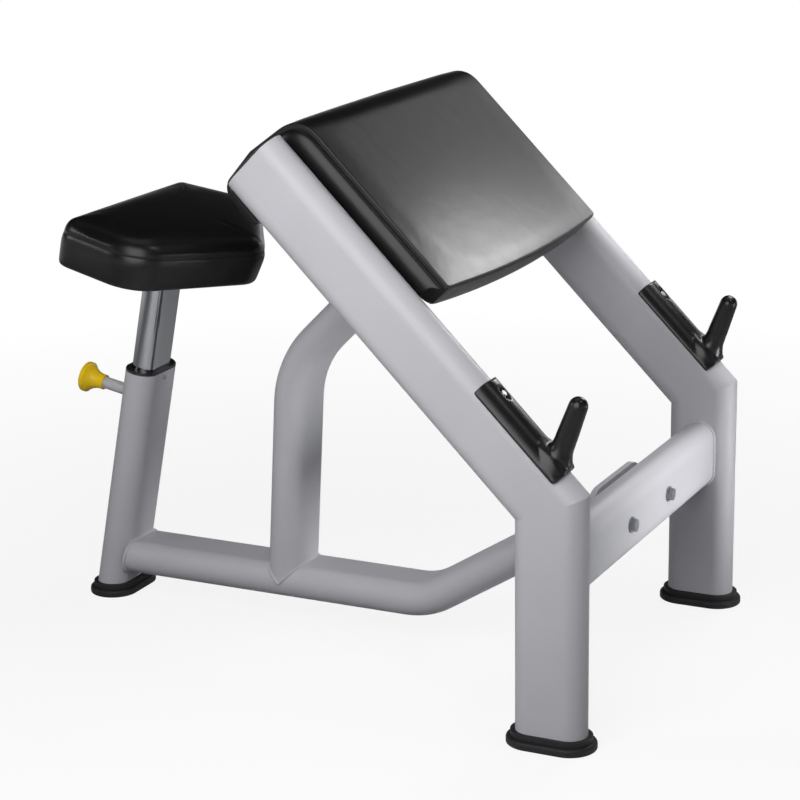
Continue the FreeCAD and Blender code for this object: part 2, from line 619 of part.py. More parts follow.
def feet():
    for side, sign in (("left", -1), ("right", 1)):
        base = vec(sign * size("side_offset"), size("leg_y"), 0)
        place = frame(base, vec(0, 1, 0), vec(0, 0, 1))
        foot(f"foot_{side}", place, "Sizes.foot_plug", "Sizes.foot_plug_gap")
    base = vec(0, size("post_base_y"), 0)
    foot("foot_rear", frame(base, X_AXIS, vec(0, 0, 1)), "Sizes.rear_plug", "Sizes.rear_plug_gap")


def cross_beam():
    body = oval_tube("cross_beam", INNER_SPAN)
    holes = new_sketch(body, "XZ_Plane")
    for sign in ("-", "+"):
        add_circle(holes, "0", f"({INNER_SPAN}) / 2 {sign} Sizes.flange_bolt_x", FLANGE_HOLE)
    pocket(body, holes, symmetric=True)
    base = vec(size("tube_thick") / 2 - size("side_offset"), size("leg_y"), size("beam_z"))
    node(body, "cross_beam", frame(base, vec(0, 0, 1), X_AXIS))


def hex_bolt():
    """Hexagon bolt with its head below local zero and its shank along local Z."""
    body = new_body("flange_bolt")
    head = new_sketch(body)
    add_hexagon(head, "Sizes.flange_head_across")
    pad(body, head, "Sizes.flange_head_thick", reverse=True)
    shank = new_sketch(body)
    add_circle(shank, "0", "0", "Sizes.flange_bolt_radius")
    clamped = "Sizes.tube_thick + Sizes.flange_thick + 2 * Sizes.flange_washer_thick"
    pad(body, shank, f"{clamped} + Sizes.flange_nut_thick + Sizes.flange_bolt_rest")
    return body


def ring(name, outer, inner, length):
    """Round ring along local Z."""
    body = new_body(name)
    sketch = new_sketch(body)
    add_circle(sketch, "0", "0", outer)
    add_circle(sketch, "0", "0", inner)
    pad(body, sketch, length)
    return body


def hex_nut(name, across, inner, thick):
    body = new_body(name)
    sketch = new_sketch(body)
    add_hexagon(sketch, across)
    add_circle(sketch, "0", "0", inner)
    pad(body, sketch, thick)
    return body


def flange_joint():
    plate = new_body("spine_flange")
    outline = new_sketch(plate)
    add_oval(outline, "Sizes.flange_flat", "Sizes.flange_radius")
    add_circle(outline, "-Sizes.flange_bolt_x", "0", FLANGE_HOLE)
    add_circle(outline, "Sizes.flange_bolt_x", "0", FLANGE_HOLE)
    pad(plate, outline, "Sizes.flange_thick")
    back = size("leg_y") + size("tube_thick") / 2
    back_way = vec(0, 1, 0)
    node(plate, "spine_flange", frame(vec(0, back, size("beam_z")), X_AXIS, back_way))

    bolt = hex_bolt()
    washer = ring("flange_washer", "Sizes.flange_washer_radius", FLANGE_HOLE, "Sizes.flange_washer_thick")
    thread = "Sizes.flange_bolt_radius + Sizes.nut_bore_gap"
    nut = hex_nut("flange_nut", "Sizes.flange_head_across", thread, "Sizes.flange_nut_thick")
    inside = "Sizes.tube_thick - 2 * Sizes.tube_wall"
    spacer = ring("beam_spacer", "Sizes.beam_spacer_radius", FLANGE_HOLE, inside)
    doc.recompute()
    front = back - size("tube_thick")
    behind = back + size("flange_thick")
    washer_thick = size("flange_washer_thick")
    places = {"bolt": [], "washer": [], "nut": [], "spacer": []}
    for sign in (-1, 1):
        def at(y):
            return frame(vec(sign * size("flange_bolt_x"), y, size("beam_z")), X_AXIS, back_way)
        places["bolt"].append((bolt, at(front - washer_thick)))
        places["washer"] += [(washer, at(front - washer_thick)), (washer, at(behind))]
        places["nut"].append((nut, at(behind + washer_thick)))
        places["spacer"].append((spacer, at(front + size("tube_wall"))))
    group("flange_bolts", places["bolt"])
    group("flange_washers", places["washer"])
    group("flange_nuts", places["nut"])
    group("beam_spacers", places["spacer"])


def bent_tube(name, start, end, angles, radius, profile):
    """Flat-oval tube swept along a bent line in the middle plane."""
    body = new_body(name)
    path = new_sketch(body, "YZ_Plane")
    add_path(path, start, end, angles, radius)
    for kind, bore in (("PartDesign::AdditivePipe", OVAL_RADIUS), ("PartDesign::SubtractivePipe", OVAL_BORE)):
        section = profile(body)
        add_oval(section, OVAL_FLAT, bore)
        doc.recompute()
        pipe = body.newObject(kind, f"{name}_sweep")
        pipe.Profile = section
        pipe.Spine = (path, ["Edge1", "Edge2", "Edge3"])
        section.Visibility = False
    path.Visibility = False
    doc.recompute()
    return body


def spine_tube():
    back_y = "Sizes.leg_y + Sizes.tube_thick / 2"
    rise = "Sizes.spine_rise * 1 deg"
    lean = "Sizes.post_lean * 1 deg"
    start_y = f"Sizes.post_base_y - (Sizes.spine_z - Sizes.foot_height) * tan({lean})"
    start = (start_y, "Sizes.spine_z")
    end_y = f"{back_y} - Sizes.spine_overrun * cos({rise})"
    end = (end_y, f"Sizes.beam_z + Sizes.spine_overrun * sin({rise})")

    def profile(body):
        return new_sketch(body, "XZ_Plane", offset=f"-({start_y})", shift="Sizes.spine_z")

    body = bent_tube("spine_tube", start, end, ("180", "180 - Sizes.spine_rise"), "Sizes.spine_bend", profile)
    front = new_sketch(body, "YZ_Plane")
    edge = f"{back_y} + Sizes.flange_thick"
    add_polygon(front, [
        (edge, "0"), (edge, "2 * Sizes.beam_z"),
        (f"{edge} - 2 * Sizes.tube_wide", "2 * Sizes.beam_z"), (f"{edge} - 2 * Sizes.tube_wide", "0"),
    ])
    pocket(body, front, symmetric=True)
    rear = new_sketch(body, "YZ_Plane")
    face_y = f"Sizes.post_base_y - Sizes.tube_thick / 2 * cos({lean})"
    face_z = f"Sizes.foot_height - Sizes.tube_thick / 2 * sin({lean})"
    high = "2 * Sizes.tube_wide"
    add_polygon(rear, [
        (f"{face_y} + Sizes.tube_wide * sin({lean})", f"{face_z} - Sizes.tube_wide * cos({lean})"),
        (f"{face_y} - {high} * sin({lean})", f"{face_z} + {high} * cos({lean})"),
        (f"{face_y} + {high}", f"{face_z} + {high} * cos({lean})"),
        (f"{face_y} + {high}", f"{face_z} - Sizes.tube_wide * cos({lean})"),
    ])
    pocket(body, rear, symmetric=True)
    node(body, "spine_tube")


def upright_tube():
    lean = "Sizes.upright_lean * 1 deg"
    tilt = "Sizes.rail_angle * 1 deg"
    under = "Sizes.cross_n - Sizes.tube_thick / 2"
    start = ("Sizes.upright_y", "Sizes.spine_z")
    end = (
        f"Sizes.leg_y + Sizes.cross_s * cos({tilt}) - ({under}) * sin({tilt})",
        f"Sizes.knee_z + Sizes.cross_s * sin({tilt}) + ({under}) * cos({tilt})",
    )

    def profile(body):
        sketch = new_sketch(body, "XY_Plane")
        turn = FreeCAD.Rotation(X_AXIS, size("upright_lean"))
        sketch.AttachmentOffset = FreeCAD.Placement(vec(0, size("upright_y"), size("spine_z")), turn)
        sketch.setExpression("AttachmentOffset.Base.y", "Sizes.upright_y")
        sketch.setExpression("AttachmentOffset.Base.z", "Sizes.spine_z")
        return sketch

    angles = ("90 + Sizes.upright_lean", "90 + Sizes.rail_angle")
    body = bent_tube("upright_tube", start, end, angles, "Sizes.upright_bend", profile)
    saddle = new_sketch(body, "XZ_Plane", shift="Sizes.spine_z")
    add_oval(saddle, OVAL_FLAT, OVAL_RADIUS)
    pocket(body, saddle, symmetric=True)
    node(body, "upright_tube")


STRAP_TOP = "Sizes.pad_under_n"
CHEST_FACE = "Sizes.chest_face_s"
PAD_HOLE = "Sizes.pad_bolt_radius + Sizes.pad_bolt_gap"


def pad_frame():
    body = oval_tube("pad_cross_tube", INNER_SPAN)
    base = rail_point(size("tube_thick") / 2 - size("side_offset"), size("cross_s"), size("cross_n"))
    node(body, "pad_cross_tube", frame(base, RAIL_ALONG, X_AXIS))
    for side, sign in (("left", -1), ("right", 1)):
        strap = new_body(f"pad_strap_{side}")
        sketch = new_sketch(strap)
        inner_s = f"{CHEST_FACE} - Sizes.strap_thick"
        inner_n = f"{STRAP_TOP} - Sizes.strap_thick"
        add_polygon(sketch, [
            ("Sizes.strap_start_s", STRAP_TOP),
            (CHEST_FACE, STRAP_TOP),
            (CHEST_FACE, "Sizes.strap_end_n"),
            (inner_s, "Sizes.strap_end_n"),
            (inner_s, inner_n),
            ("Sizes.strap_start_s", inner_n),
        ])
        solid = pad(strap, sketch, "Sizes.strap_wide", symmetric=True)
        doc.recompute()
        bend_s = size("chest_face_s")
        bend_n = size("pad_under_n")

        def outer_bend(edge):
            box = edge.BoundBox
            return box.XMin > bend_s - NEAR and box.YMin > bend_n - NEAR

        fillet(strap, solid, "Sizes.strap_bend", outer_bend)
        arm = new_sketch(strap, "XZ_Plane")
        add_circle(arm, "Sizes.strap_bolt_low_s", "0", PAD_HOLE)
        add_circle(arm, "Sizes.strap_bolt_high_s", "0", PAD_HOLE)
        pocket(strap, arm, symmetric=True)
        chest = new_sketch(strap, "YZ_Plane")
        add_circle(chest, "Sizes.strap_bolt_near_n", "0", PAD_HOLE)
        add_circle(chest, "Sizes.strap_bolt_far_n", "0", PAD_HOLE)
        pocket(strap, chest, symmetric=True)
        node(strap, f"pad_strap_{side}", rail_frame(sign * size("strap_x")))


def board(name, corners, role, spots, far_face):
    """Plywood board with a stepped hole for each tee nut, let in from its upholstered face."""
    body = new_body(name)
    outline = new_sketch(body)
    add_polygon(outline, corners)
    pad(body, outline, "2 * Sizes.arm_board_half", symmetric=True)
    through = new_sketch(body, role)
    recess = new_sketch(body, role, offset=far_face)
    for x, y in spots:
        add_circle(through, x, y, "Sizes.nut_barrel_radius")
        add_circle(recess, x, y, "Sizes.nut_flange_radius")
    pocket(body, through, symmetric=True)
    pocket(body, recess, "2 * Sizes.nut_flange_thick", symmetric=True)
    return node(body, name, rail_frame(0))


def pad_boards():
    arm_top = f"({STRAP_TOP} + Sizes.board_thick)"
    corners = [
        ("Sizes.arm_board_low_s", STRAP_TOP),
        ("Sizes.arm_board_high_s", STRAP_TOP),
        ("Sizes.arm_board_high_s", arm_top),
        ("Sizes.arm_board_low_s", arm_top),
    ]
    spots = []
    for along in ("Sizes.strap_bolt_low_s", "Sizes.strap_bolt_high_s"):
        spots += [(along, "Sizes.strap_x"), (along, "-Sizes.strap_x")]
    board("arm_board", corners, "XZ_Plane", spots, f"-{arm_top}")
    chest_back = f"({CHEST_FACE} + Sizes.board_thick)"
    corners = [
        (CHEST_FACE, "Sizes.chest_board_low_n"),
        (chest_back, "Sizes.chest_board_low_n"),
        (chest_back, "Sizes.chest_board_high_n"),
        (CHEST_FACE, "Sizes.chest_board_high_n"),
    ]
    spots = []
    for up in ("Sizes.strap_bolt_near_n", "Sizes.strap_bolt_far_n"):
        spots += [(up, "Sizes.strap_x"), (up, "-Sizes.strap_x")]
    board("chest_board", corners, "YZ_Plane", spots, chest_back)


def cushion_bolt():
    """Button-head bolt: head below local zero, shank up through a metal strap and a board."""
    body = new_body("cushion_bolt")
    head = new_sketch(body)
    add_circle(head, "0", "0", "Sizes.pad_head_radius")
    solid = pad(body, head, "Sizes.pad_head_thick", reverse=True)
    solid = fillet(body, solid, "Sizes.pad_head_round", edges_at(-size("pad_head_thick")))
    shank = new_sketch(body)
    add_circle(shank, "0", "0", "Sizes.pad_bolt_radius")
    pad(body, shank, "Sizes.strap_thick + Sizes.board_thick - Sizes.nut_short")
    socket = new_sketch(body, offset="-Sizes.pad_head_thick")
    add_hexagon(socket, "2 * Sizes.pad_socket_radius")
    pocket(body, socket, "Sizes.pad_socket_depth", reverse=True)
    return body


def tee_nut():
    """Tee nut with its barrel up to local zero and its flange at the board's upholstered face."""
    body = new_body("tee_nut")
    flange = new_sketch(body)
    bore = "Sizes.pad_bolt_radius + Sizes.nut_bore_gap"
    add_circle(flange, "0", "0", "Sizes.nut_flange_radius")
    add_circle(flange, "0", "0", bore)
    pad(body, flange, "Sizes.nut_flange_thick", reverse=True)
    barrel = new_sketch(body)
    add_circle(barrel, "0", "0", "Sizes.nut_barrel_radius")
    add_circle(barrel, "0", "0", bore)
    pad(body, barrel, "Sizes.board_thick - Sizes.nut_short", reverse=True)
    return body


def cushion_fixings(bolt, nut):
    """Bolts up through the straps into tee nuts in the two boards of the arm pad."""
    bolts = []
    nuts = []
    strap_under = size("pad_under_n") - size("strap_thick")
    board_top = size("pad_under_n") + size("board_thick")
    chest_under = size("chest_face_s") - size("strap_thick")
    chest_back = size("chest_face_s") + size("board_thick")
    for sign in (-1, 1):
        across = sign * size("strap_x")
        for name in ("strap_bolt_low_s", "strap_bolt_high_s"):
            bolts.append((bolt, frame(rail_point(across, size(name), strap_under), X_AXIS, RAIL_UP)))
            nuts.append((nut, frame(rail_point(across, size(name), board_top), X_AXIS, RAIL_UP)))
        for name in ("strap_bolt_near_n", "strap_bolt_far_n"):
            bolts.append((bolt, frame(rail_point(across, chest_under, size(name)), X_AXIS, RAIL_ALONG)))
            nuts.append((nut, frame(rail_point(across, chest_back, size(name)), X_AXIS, RAIL_ALONG)))
    group("pad_bolts", bolts)
    group("pad_tnuts", nuts)


def shaped_piece(label, shape, placement):
    """One piece whose solid is made whole, such as a loft or a swept coil."""
    feature = doc.addObject("Part::Feature", label)
    feature.Shape = shape
    return node(feature, label, placement)


def rounded_wire(corners, x):
    """Closed wire of lines and arcs; corners hold two coordinates and a rounding radius."""
    edges = []
    ends = []
    count = len(corners)
    for index, (s, n, radius) in enumerate(corners):
        here = vec(s, n, x)
        before = vec(*corners[index - 1][:2], x) - here
        after = vec(*corners[(index + 1) % count][:2], x) - here
        half = before.getAngle(after) / 2
        before.normalize()
        after.normalize()
        reach = radius / math.tan(half)
        bisector = before + after
        bisector.normalize()
        middle = here + bisector * (radius / math.sin(half) - radius)
        ends.append((here + before * reach, middle, here + after * reach))
    for index, (start, middle, end) in enumerate(ends):
        edges.append(Part.Arc(start, middle, end).toShape())
        edges.append(Part.makeLine(end, ends[(index + 1) % count][0]))
    return Part.Wire(edges)


PAD_SECTION_SHARES = (-1, -0.985, -0.955, -0.75, -0.4, 0, 0.4, 0.75, 0.955, 0.985, 1)


def pad_section(share):
    """Outline of the arm pad at a share of its half width, drawn in near the two ends."""
    half = size("pad_half")
    from_end = (1 - abs(share)) * half
    turn = max(0, 1 - from_end / size("pad_side_round"))
    draw = size("pad_side_draw") * (1 - math.sqrt(max(0, 1 - turn * turn)))
    crown = size("pad_crown") * (1 - share * share)
    low = size("pad_low_s") + size("pad_low_sweep") * share * share + draw
    top = size("pad_top_n") + crown - draw
    inner_s = size("chest_face_s")
    inner_n = size("pad_under_n")
    outer_shift = crown / 2 - draw
    return rounded_wire([
        (low, inner_n, size("pad_inner_round")),
        (low, top, size("pad_low_round")),
        (size("pad_end_s") + outer_shift, top, size("pad_end_round")),
        (size("pad_nose_s") + outer_shift, size("pad_nose_n"), size("pad_end_round")),
        (size("pad_tail_s") + outer_shift, size("pad_tail_n") + draw, size("pad_tail_round")),
        (inner_s, size("pad_tail_n") + draw, size("pad_inner_round")),
        (inner_s, inner_n, size("pad_inner_round") / 2),
    ], share * half)


def board_block(low_s, high_s, low_n, high_n):
    """Plain block the boards fill inside the upholstery."""
    half = size("arm_board_half")
    return Part.makeBox(high_s - low_s, high_n - low_n, 2 * half, vec(low_s, low_n, -half))


def arm_pad():
    shape = Part.makeLoft([pad_section(share) for share in PAD_SECTION_SHARES], True, False)
    under = size("pad_under_n")
    face = size("chest_face_s")
    thick = size("board_thick")
    shape = shape.cut(board_block(size("arm_board_low_s"), size("arm_board_high_s"), under, under + thick))
    shape = shape.cut(board_block(face, face + thick, size("chest_board_low_n"), size("chest_board_high_n")))
    shaped_piece("arm_pad", shape, rail_frame(0))


def slot_cut(radius, low, high):
    """Upright slot through the saddle of the bar rest between two heights."""
    half = size("rest_slot_flat") / 2
    middle = size("rest_slot_s")
    up = vec(0, 1, 0)
    cut = Part.makeBox(2 * half, high - low, 2 * radius, vec(middle - half, low, -radius))
    for end in (middle - half, middle + half):
        cut = cut.fuse(Part.makeCylinder(radius, high - low, vec(end, low, 0), up))
    return cut


def horn():
    """Round horn with a flared foot, turned about its own leaning axis."""
    foot_r = size("horn_foot_radius")
    foot_z = size("horn_foot_height")
    neck_r = size("horn_neck_radius")
    neck_z = size("horn_flare_height")
    tip_r = size("horn_tip_radius")
    tip_z = size("horn_length")
    sink = -size("horn_sink")
    cos45 = math.sqrt(0.5)
    sag = size("horn_flare_sag")
    middle = vec((foot_r + neck_r) / 2 - sag, 0, (foot_z + neck_z) / 2 - sag)
    corners = [vec(0, 0, sink), vec(foot_r, 0, sink), vec(foot_r, 0, foot_z), vec(neck_r, 0, neck_z)]
    tip = vec(tip_r, 0, tip_z)
    tip_middle = vec(tip_r * cos45, 0, tip_z + tip_r * cos45)
    tip_top = vec(0, 0, tip_z + tip_r)
    edges = [
        Part.makeLine(corners[0], corners[1]),
        Part.makeLine(corners[1], corners[2]),
        Part.Arc(corners[2], middle, corners[3]).toShape(),
        Part.makeLine(corners[3], tip),
        Part.Arc(tip, tip_middle, tip_top).toShape(),
        Part.makeLine(tip_top, corners[0]),
    ]
    solid = Part.Face(Part.Wire(edges)).revolve(vec(0, 0, 0), vec(0, 0, 1), 360)
    lean_cos, lean_sin = turned(size("horn_lean"))
    base = vec(size("horn_base_s"), size("horn_base_n"), 0)
    solid.Placement = frame(base, vec(0, 0, 1), vec(lean_sin, lean_cos, 0))
    return solid


def bar_rest_shape():
    """Moulded saddle with a horn; local X up the rail, local Y square to it, local Z across."""
    low = size("rest_low_s")
    length = size("rest_high_s") - low
    half = size("rest_half")
    skirt = size("rest_skirt_n")
    top = size("rest_top_n")
    along = vec(1, 0, 0)
    block = Part.makeBox(length, top - skirt, 2 * half, vec(low, skirt, -half))
    long_edges = [edge for edge in block.Edges if edge.BoundBox.XLength > length - NEAR]
    shoulders = [edge for edge in long_edges if edge.BoundBox.YMin > top - NEAR]
    block = block.makeFillet(size("rest_shoulder"), shoulders)
    end_edges = [edge for edge in block.Edges if edge.BoundBox.XLength < NEAR]
    ends = [edge for edge in end_edges if edge.BoundBox.YMax > skirt + NEAR]
    block = block.makeFillet(size("rest_corner"), ends)
    shape = block.fuse(horn())
    arc_n = (size("tube_wide") - size("tube_thick")) / 2
    radius = size("tube_thick") / 2
    start = low - size("tube_wide")
    reach = length + 2 * size("tube_wide")
    rail = Part.makeCylinder(radius, reach, vec(start, arc_n, 0), along)
    rail = rail.fuse(Part.makeBox(reach, arc_n, 2 * radius, vec(start, 0, -radius)))
    shape = shape.cut(rail)
    recess = size("rest_slot_depth")
    shape = shape.cut(slot_cut(size("rest_slot_radius"), top - recess, top + recess))
    shape = shape.cut(slot_cut(size("rest_screw_radius") + size("rest_screw_gap"), skirt, top))
    peg_low = size("rest_peg_n")
    peg_base = vec(size("horn_base_s"), peg_low, 0)
    peg = Part.makeCylinder(size("rest_peg_radius"), top - peg_low, peg_base, vec(0, 1, 0))
    return shape.fuse(peg).removeSplitter()


def round_screw(name, head, thick, shank, length):
    """Round-head screw: head below local zero, shank along local Z."""
    body = new_body(name)
    top = new_sketch(body)
    add_circle(top, "0", "0", head)
    solid = pad(body, top, thick, reverse=True)
    fillet(body, solid, f"({thick}) / 2", edges_at(-top.evalExpression(thick)))
    stem = new_sketch(body)
    add_circle(stem, "0", "0", shank)
    pad(body, stem, length)
    return body


def bar_rests():
    shape = bar_rest_shape()
    screw = round_screw(
        "rest_screw", "Sizes.rest_screw_head", "Sizes.rest_screw_head_thick",
        "Sizes.rest_screw_radius", "Sizes.rest_screw_length",
    )
    thread = "Sizes.rest_screw_radius + Sizes.nut_bore_gap"
    nut = hex_nut("rest_nut", "Sizes.rest_nut_across", thread, "Sizes.rest_nut_thick")
    doc.recompute()
    screws = []
    nuts = []
    seat_n = size("rest_top_n") - size("rest_slot_depth")
    nut_n = size("tube_wide") / 2 - size("rest_nut_drop")
    for side, sign in (("left", -1), ("right", 1)):
        across = sign * size("side_offset")
        shaped_piece(f"rest_{side}", shape.copy(), rail_frame(across))
        spot = size("rest_slot_s")
        screws.append((screw, frame(rail_point(across, spot, seat_n), X_AXIS, -RAIL_UP)))
        nuts.append((nut, frame(rail_point(across, spot, nut_n), X_AXIS, -RAIL_UP)))
    group("rest_screws", screws)
    group("rest_nuts", nuts)


INNER_FLAT = "Sizes.inner_wide - Sizes.inner_thick"
PIN_HOLE = "Sizes.pin_radius + Sizes.pin_hole_gap"
SCREW_HOLE = "Sizes.bushing_screw_radius + Sizes.bushing_screw_gap"


def rear_hole(body, heights, radius, front=False):
    """Round holes through the rear or front wall of a post piece."""
    sketch = new_sketch(body, "XZ_Plane")
    for height in heights:
        add_circle(sketch, "0", height, radius)
    pocket(body, sketch, reverse=front)


def post_sleeve():
    body = oval_tube("post_sleeve", "Sizes.sleeve_length + Sizes.tube_thick", "-Sizes.tube_thick")
    slope = "tan(Sizes.post_lean * 1 deg)"
    trim = new_sketch(body, "YZ_Plane")
    add_polygon(trim, [
        ("-Sizes.tube_wide", f"Sizes.tube_wide * {slope}"),
        ("Sizes.tube_wide", f"-Sizes.tube_wide * {slope}"),
        ("Sizes.tube_wide", "-2 * Sizes.tube_wide"),
        ("-Sizes.tube_wide", "-2 * Sizes.tube_wide"),
    ])
    pocket(body, trim, symmetric=True)
    rear_hole(body, ["Sizes.pin_t"], PIN_HOLE)
    rear_hole(body, ["Sizes.bushing_screw_t"], SCREW_HOLE, front=True)
    node(body, "post_sleeve", post_frame())


def post_bushing():
    body = new_body("post_bushing")
    bore = "Sizes.inner_thick / 2 + Sizes.bushing_gap"
    rim = new_sketch(body, offset="Sizes.sleeve_length")
    add_oval(rim, OVAL_FLAT, OVAL_RADIUS)
    add_oval(rim, INNER_FLAT, bore)
    solid = pad(body, rim, "Sizes.bushing_rim")
    top = edges_at(size("sleeve_length") + size("bushing_rim"))
    reach = (size("tube_thick") - size("tube_wall")) / 2

    def outer_rim(edge):
        return top(edge) and max(edge.BoundBox.YMax, -edge.BoundBox.YMin) > reach

    fillet(body, solid, "Sizes.bushing_round", outer_rim)
    liner = new_sketch(body, offset="Sizes.sleeve_length")
    add_oval(liner, OVAL_FLAT, OVAL_BORE)
    add_oval(liner, INNER_FLAT, bore)
    pad(body, liner, "Sizes.bushing_length", reverse=True)
    rear_hole(body, ["Sizes.pin_t"], PIN_HOLE)
    rear_hole(body, ["Sizes.bushing_screw_t"], SCREW_HOLE, front=True)
    node(body, "post_bushing", post_frame())
    screw = round_screw(
        "bushing_screw", "Sizes.bushing_screw_head", "Sizes.bushing_screw_thick",
        "Sizes.bushing_screw_radius", "Sizes.bushing_screw_length",
    )
    spot = post_point(0, size("bushing_screw_t"), -size("tube_thick") / 2)
    node(screw, "bushing_screw", frame(spot, X_AXIS, POST_BACK))


def seat_post():
    radius = "Sizes.inner_thick / 2"
    bottom = "Sizes.inner_top_t - Sizes.inner_length"
    bore = f"{radius} - Sizes.inner_wall"
    body = oval_tube("seat_post", "Sizes.inner_length", bottom, INNER_FLAT, radius, bore)
    steps = range(int(size("pin_hole_count")))
    rear_hole(body, [f"Sizes.pin_hole_low + {step} * Sizes.pin_pitch" for step in steps], PIN_HOLE)
    node(body, "seat_post", post_frame())
    glide = new_body("post_glide")
    shoe = new_sketch(glide, offset=bottom)
    add_oval(shoe, OVAL_FLAT, f"{OVAL_BORE} - Sizes.glide_gap")
    pad(glide, shoe, "Sizes.glide_thick", reverse=True)
    stem = new_sketch(glide, offset=bottom)
    add_oval(stem, INNER_FLAT, f"{bore} - Sizes.cap_gap")
    pad(glide, stem, "Sizes.glide_stem")
    node(glide, "post_glide", post_frame())


SEAT_BOARD_CORNERS = (
    ("Sizes.seat_rear_x - Sizes.seat_board_rear", "Sizes.seat_rear_v - Sizes.seat_board_rear"),
    ("Sizes.seat_side_x - Sizes.seat_board_side", "Sizes.seat_side_v + Sizes.seat_board_lift"),
    ("Sizes.seat_board_nose", "Sizes.seat_nose_v + Sizes.seat_board_back"),
)


def seat_board():
    plate = new_body("seat_plate")
    sketch = new_sketch(plate, offset="Sizes.inner_top_t")
    signs = (("", ""), ("-", ""), ("-", "-"), ("", "-"))
    add_polygon(sketch, [(f"{a}Sizes.seat_plate_x", f"{b}Sizes.seat_plate_y") for a, b in signs])
    for a, b in signs:
        add_circle(sketch, f"{a}Sizes.seat_bolt_x", f"{b}Sizes.seat_bolt_y", PAD_HOLE)
    solid = pad(plate, sketch, "Sizes.seat_plate_thick")
    edge_x = size("seat_plate_x") - NEAR
    edge_y = size("seat_plate_y") - NEAR

    def corner_edge(edge):
        box = edge.BoundBox
        upright = box.XLength + box.YLength < NEAR
        return upright and max(box.XMax, -box.XMin) > edge_x and max(box.YMax, -box.YMin) > edge_y

    fillet(plate, solid, "Sizes.seat_plate_round", corner_edge)
    node(plate, "seat_plate", post_frame())
    wood = new_body("seat_board")
    under = "Sizes.inner_top_t + Sizes.seat_plate_thick"
    outline = new_sketch(wood, offset=under)
    add_polygon(outline, SEAT_BOARD_CORNERS + tuple((f"-({x})", v) for x, v in reversed(SEAT_BOARD_CORNERS)))
    for a, b in signs:
        add_circle(outline, f"{a}Sizes.seat_bolt_x", f"{b}Sizes.seat_bolt_y", "Sizes.nut_barrel_radius")
    pad(wood, outline, "Sizes.board_thick")
    recess = new_sketch(wood, offset=f"{under} + Sizes.board_thick")
    for a, b in signs:
        add_circle(recess, f"{a}Sizes.seat_bolt_x", f"{b}Sizes.seat_bolt_y", "Sizes.nut_flange_radius")
    pocket(wood, recess, "Sizes.nut_flange_thick")
    node(wood, "seat_board", post_frame())


SEAT_EDGE_SHARES = (0, 0.2, 0.4, 0.6, 0.8, 1)
SEAT_CROWN_SHARES = ((0.3, 0.51), (0.62, 0.856), (1, 1))


def seat_levels():
    """Heights above the underside of the seat, each with how far the outline is drawn in there."""
    hem = size("seat_hem")
    edge = size("seat_edge")
    levels = [(0, hem), (hem / 3, hem / 3), (hem, 0)]
    for share in SEAT_EDGE_SHARES:
        turn = math.radians(share * size("seat_edge_turn"))
        levels.append((size("seat_thick") - edge + edge * math.sin(turn), edge * (1 - math.cos(turn))))
    top, drawn = levels[-1]
    for reach, lift in SEAT_CROWN_SHARES:
        levels.append((top + lift * size("seat_crown"), drawn + reach * size("seat_crown_reach")))
    return levels


def seat_wire(height, inset):
    """Shield-shaped outline of the seat at a height above its underside, drawn in by a length."""
    low_share = max(0, 1 - height / (size("seat_thick") - size("seat_edge")))
    nose_v = size("seat_nose_v") + low_share * size("seat_nose_draw")
    plan = [
        (vec(size("seat_rear_x"), size("seat_rear_v"), 0), size("seat_rear_round")),
        (vec(size("seat_side_x"), size("seat_side_v"), 0), size("seat_side_round")),
        (vec(0, nose_v, 0), size("seat_nose_round")),
        (vec(-size("seat_side_x"), size("seat_side_v"), 0), size("seat_side_round")),
        (vec(-size("seat_rear_x"), size("seat_rear_v"), 0), size("seat_rear_round")),
    ]
    corners = []
    for index, (here, radius) in enumerate(plan):
        before = plan[index - 1][0] - here
        after = plan[(index + 1) % len(plan)][0] - here
        half = before.getAngle(after) / 2
        inward = before.normalize() + after.normalize()
        moved = here + inward.normalize() * (inset / math.sin(half))
        corners.append((moved.x, moved.y, max(radius - inset, size("seat_least_round"))))
    return rounded_wire(corners, size("inner_top_t") + size("seat_plate_thick") + height)


def seat_cushion():
    shape = Part.makeLoft([seat_wire(height, inset) for height, inset in seat_levels()], True, True)
    rear_x = size("seat_rear_x") - size("seat_board_rear")
    rear_v = size("seat_rear_v") - size("seat_board_rear")
    side_x = size("seat_side_x") - size("seat_board_side")
    side_v = size("seat_side_v") + size("seat_board_lift")
    nose_x = size("seat_board_nose")
    nose_v = size("seat_nose_v") + size("seat_board_back")
    under = size("inner_top_t") + size("seat_plate_thick")
    near = [vec(rear_x, rear_v, under), vec(side_x, side_v, under), vec(nose_x, nose_v, under)]
    far = [vec(-nose_x, nose_v, under), vec(-side_x, side_v, under), vec(-rear_x, rear_v, under)]
    outline = Part.makePolygon(near + far + near[:1])
    block = Part.Face(outline).extrude(vec(0, 0, size("board_thick")))
    shaped_piece("seat_cushion", shape.cut(block), post_frame())


def seat_fixings(bolt, nut):
    bolts = []
    nuts = []
    top = size("inner_top_t") + size("seat_plate_thick") + size("board_thick")
    for x in (-size("seat_bolt_x"), size("seat_bolt_x")):
        for v in (-size("seat_bolt_y"), size("seat_bolt_y")):
            bolts.append((bolt, frame(post_point(x, size("inner_top_t"), v), X_AXIS, POST_UP)))
            nuts.append((nut, frame(post_point(x, top, v), X_AXIS, POST_UP)))
    group("seat_bolts", bolts)
    group("seat_tnuts", nuts)


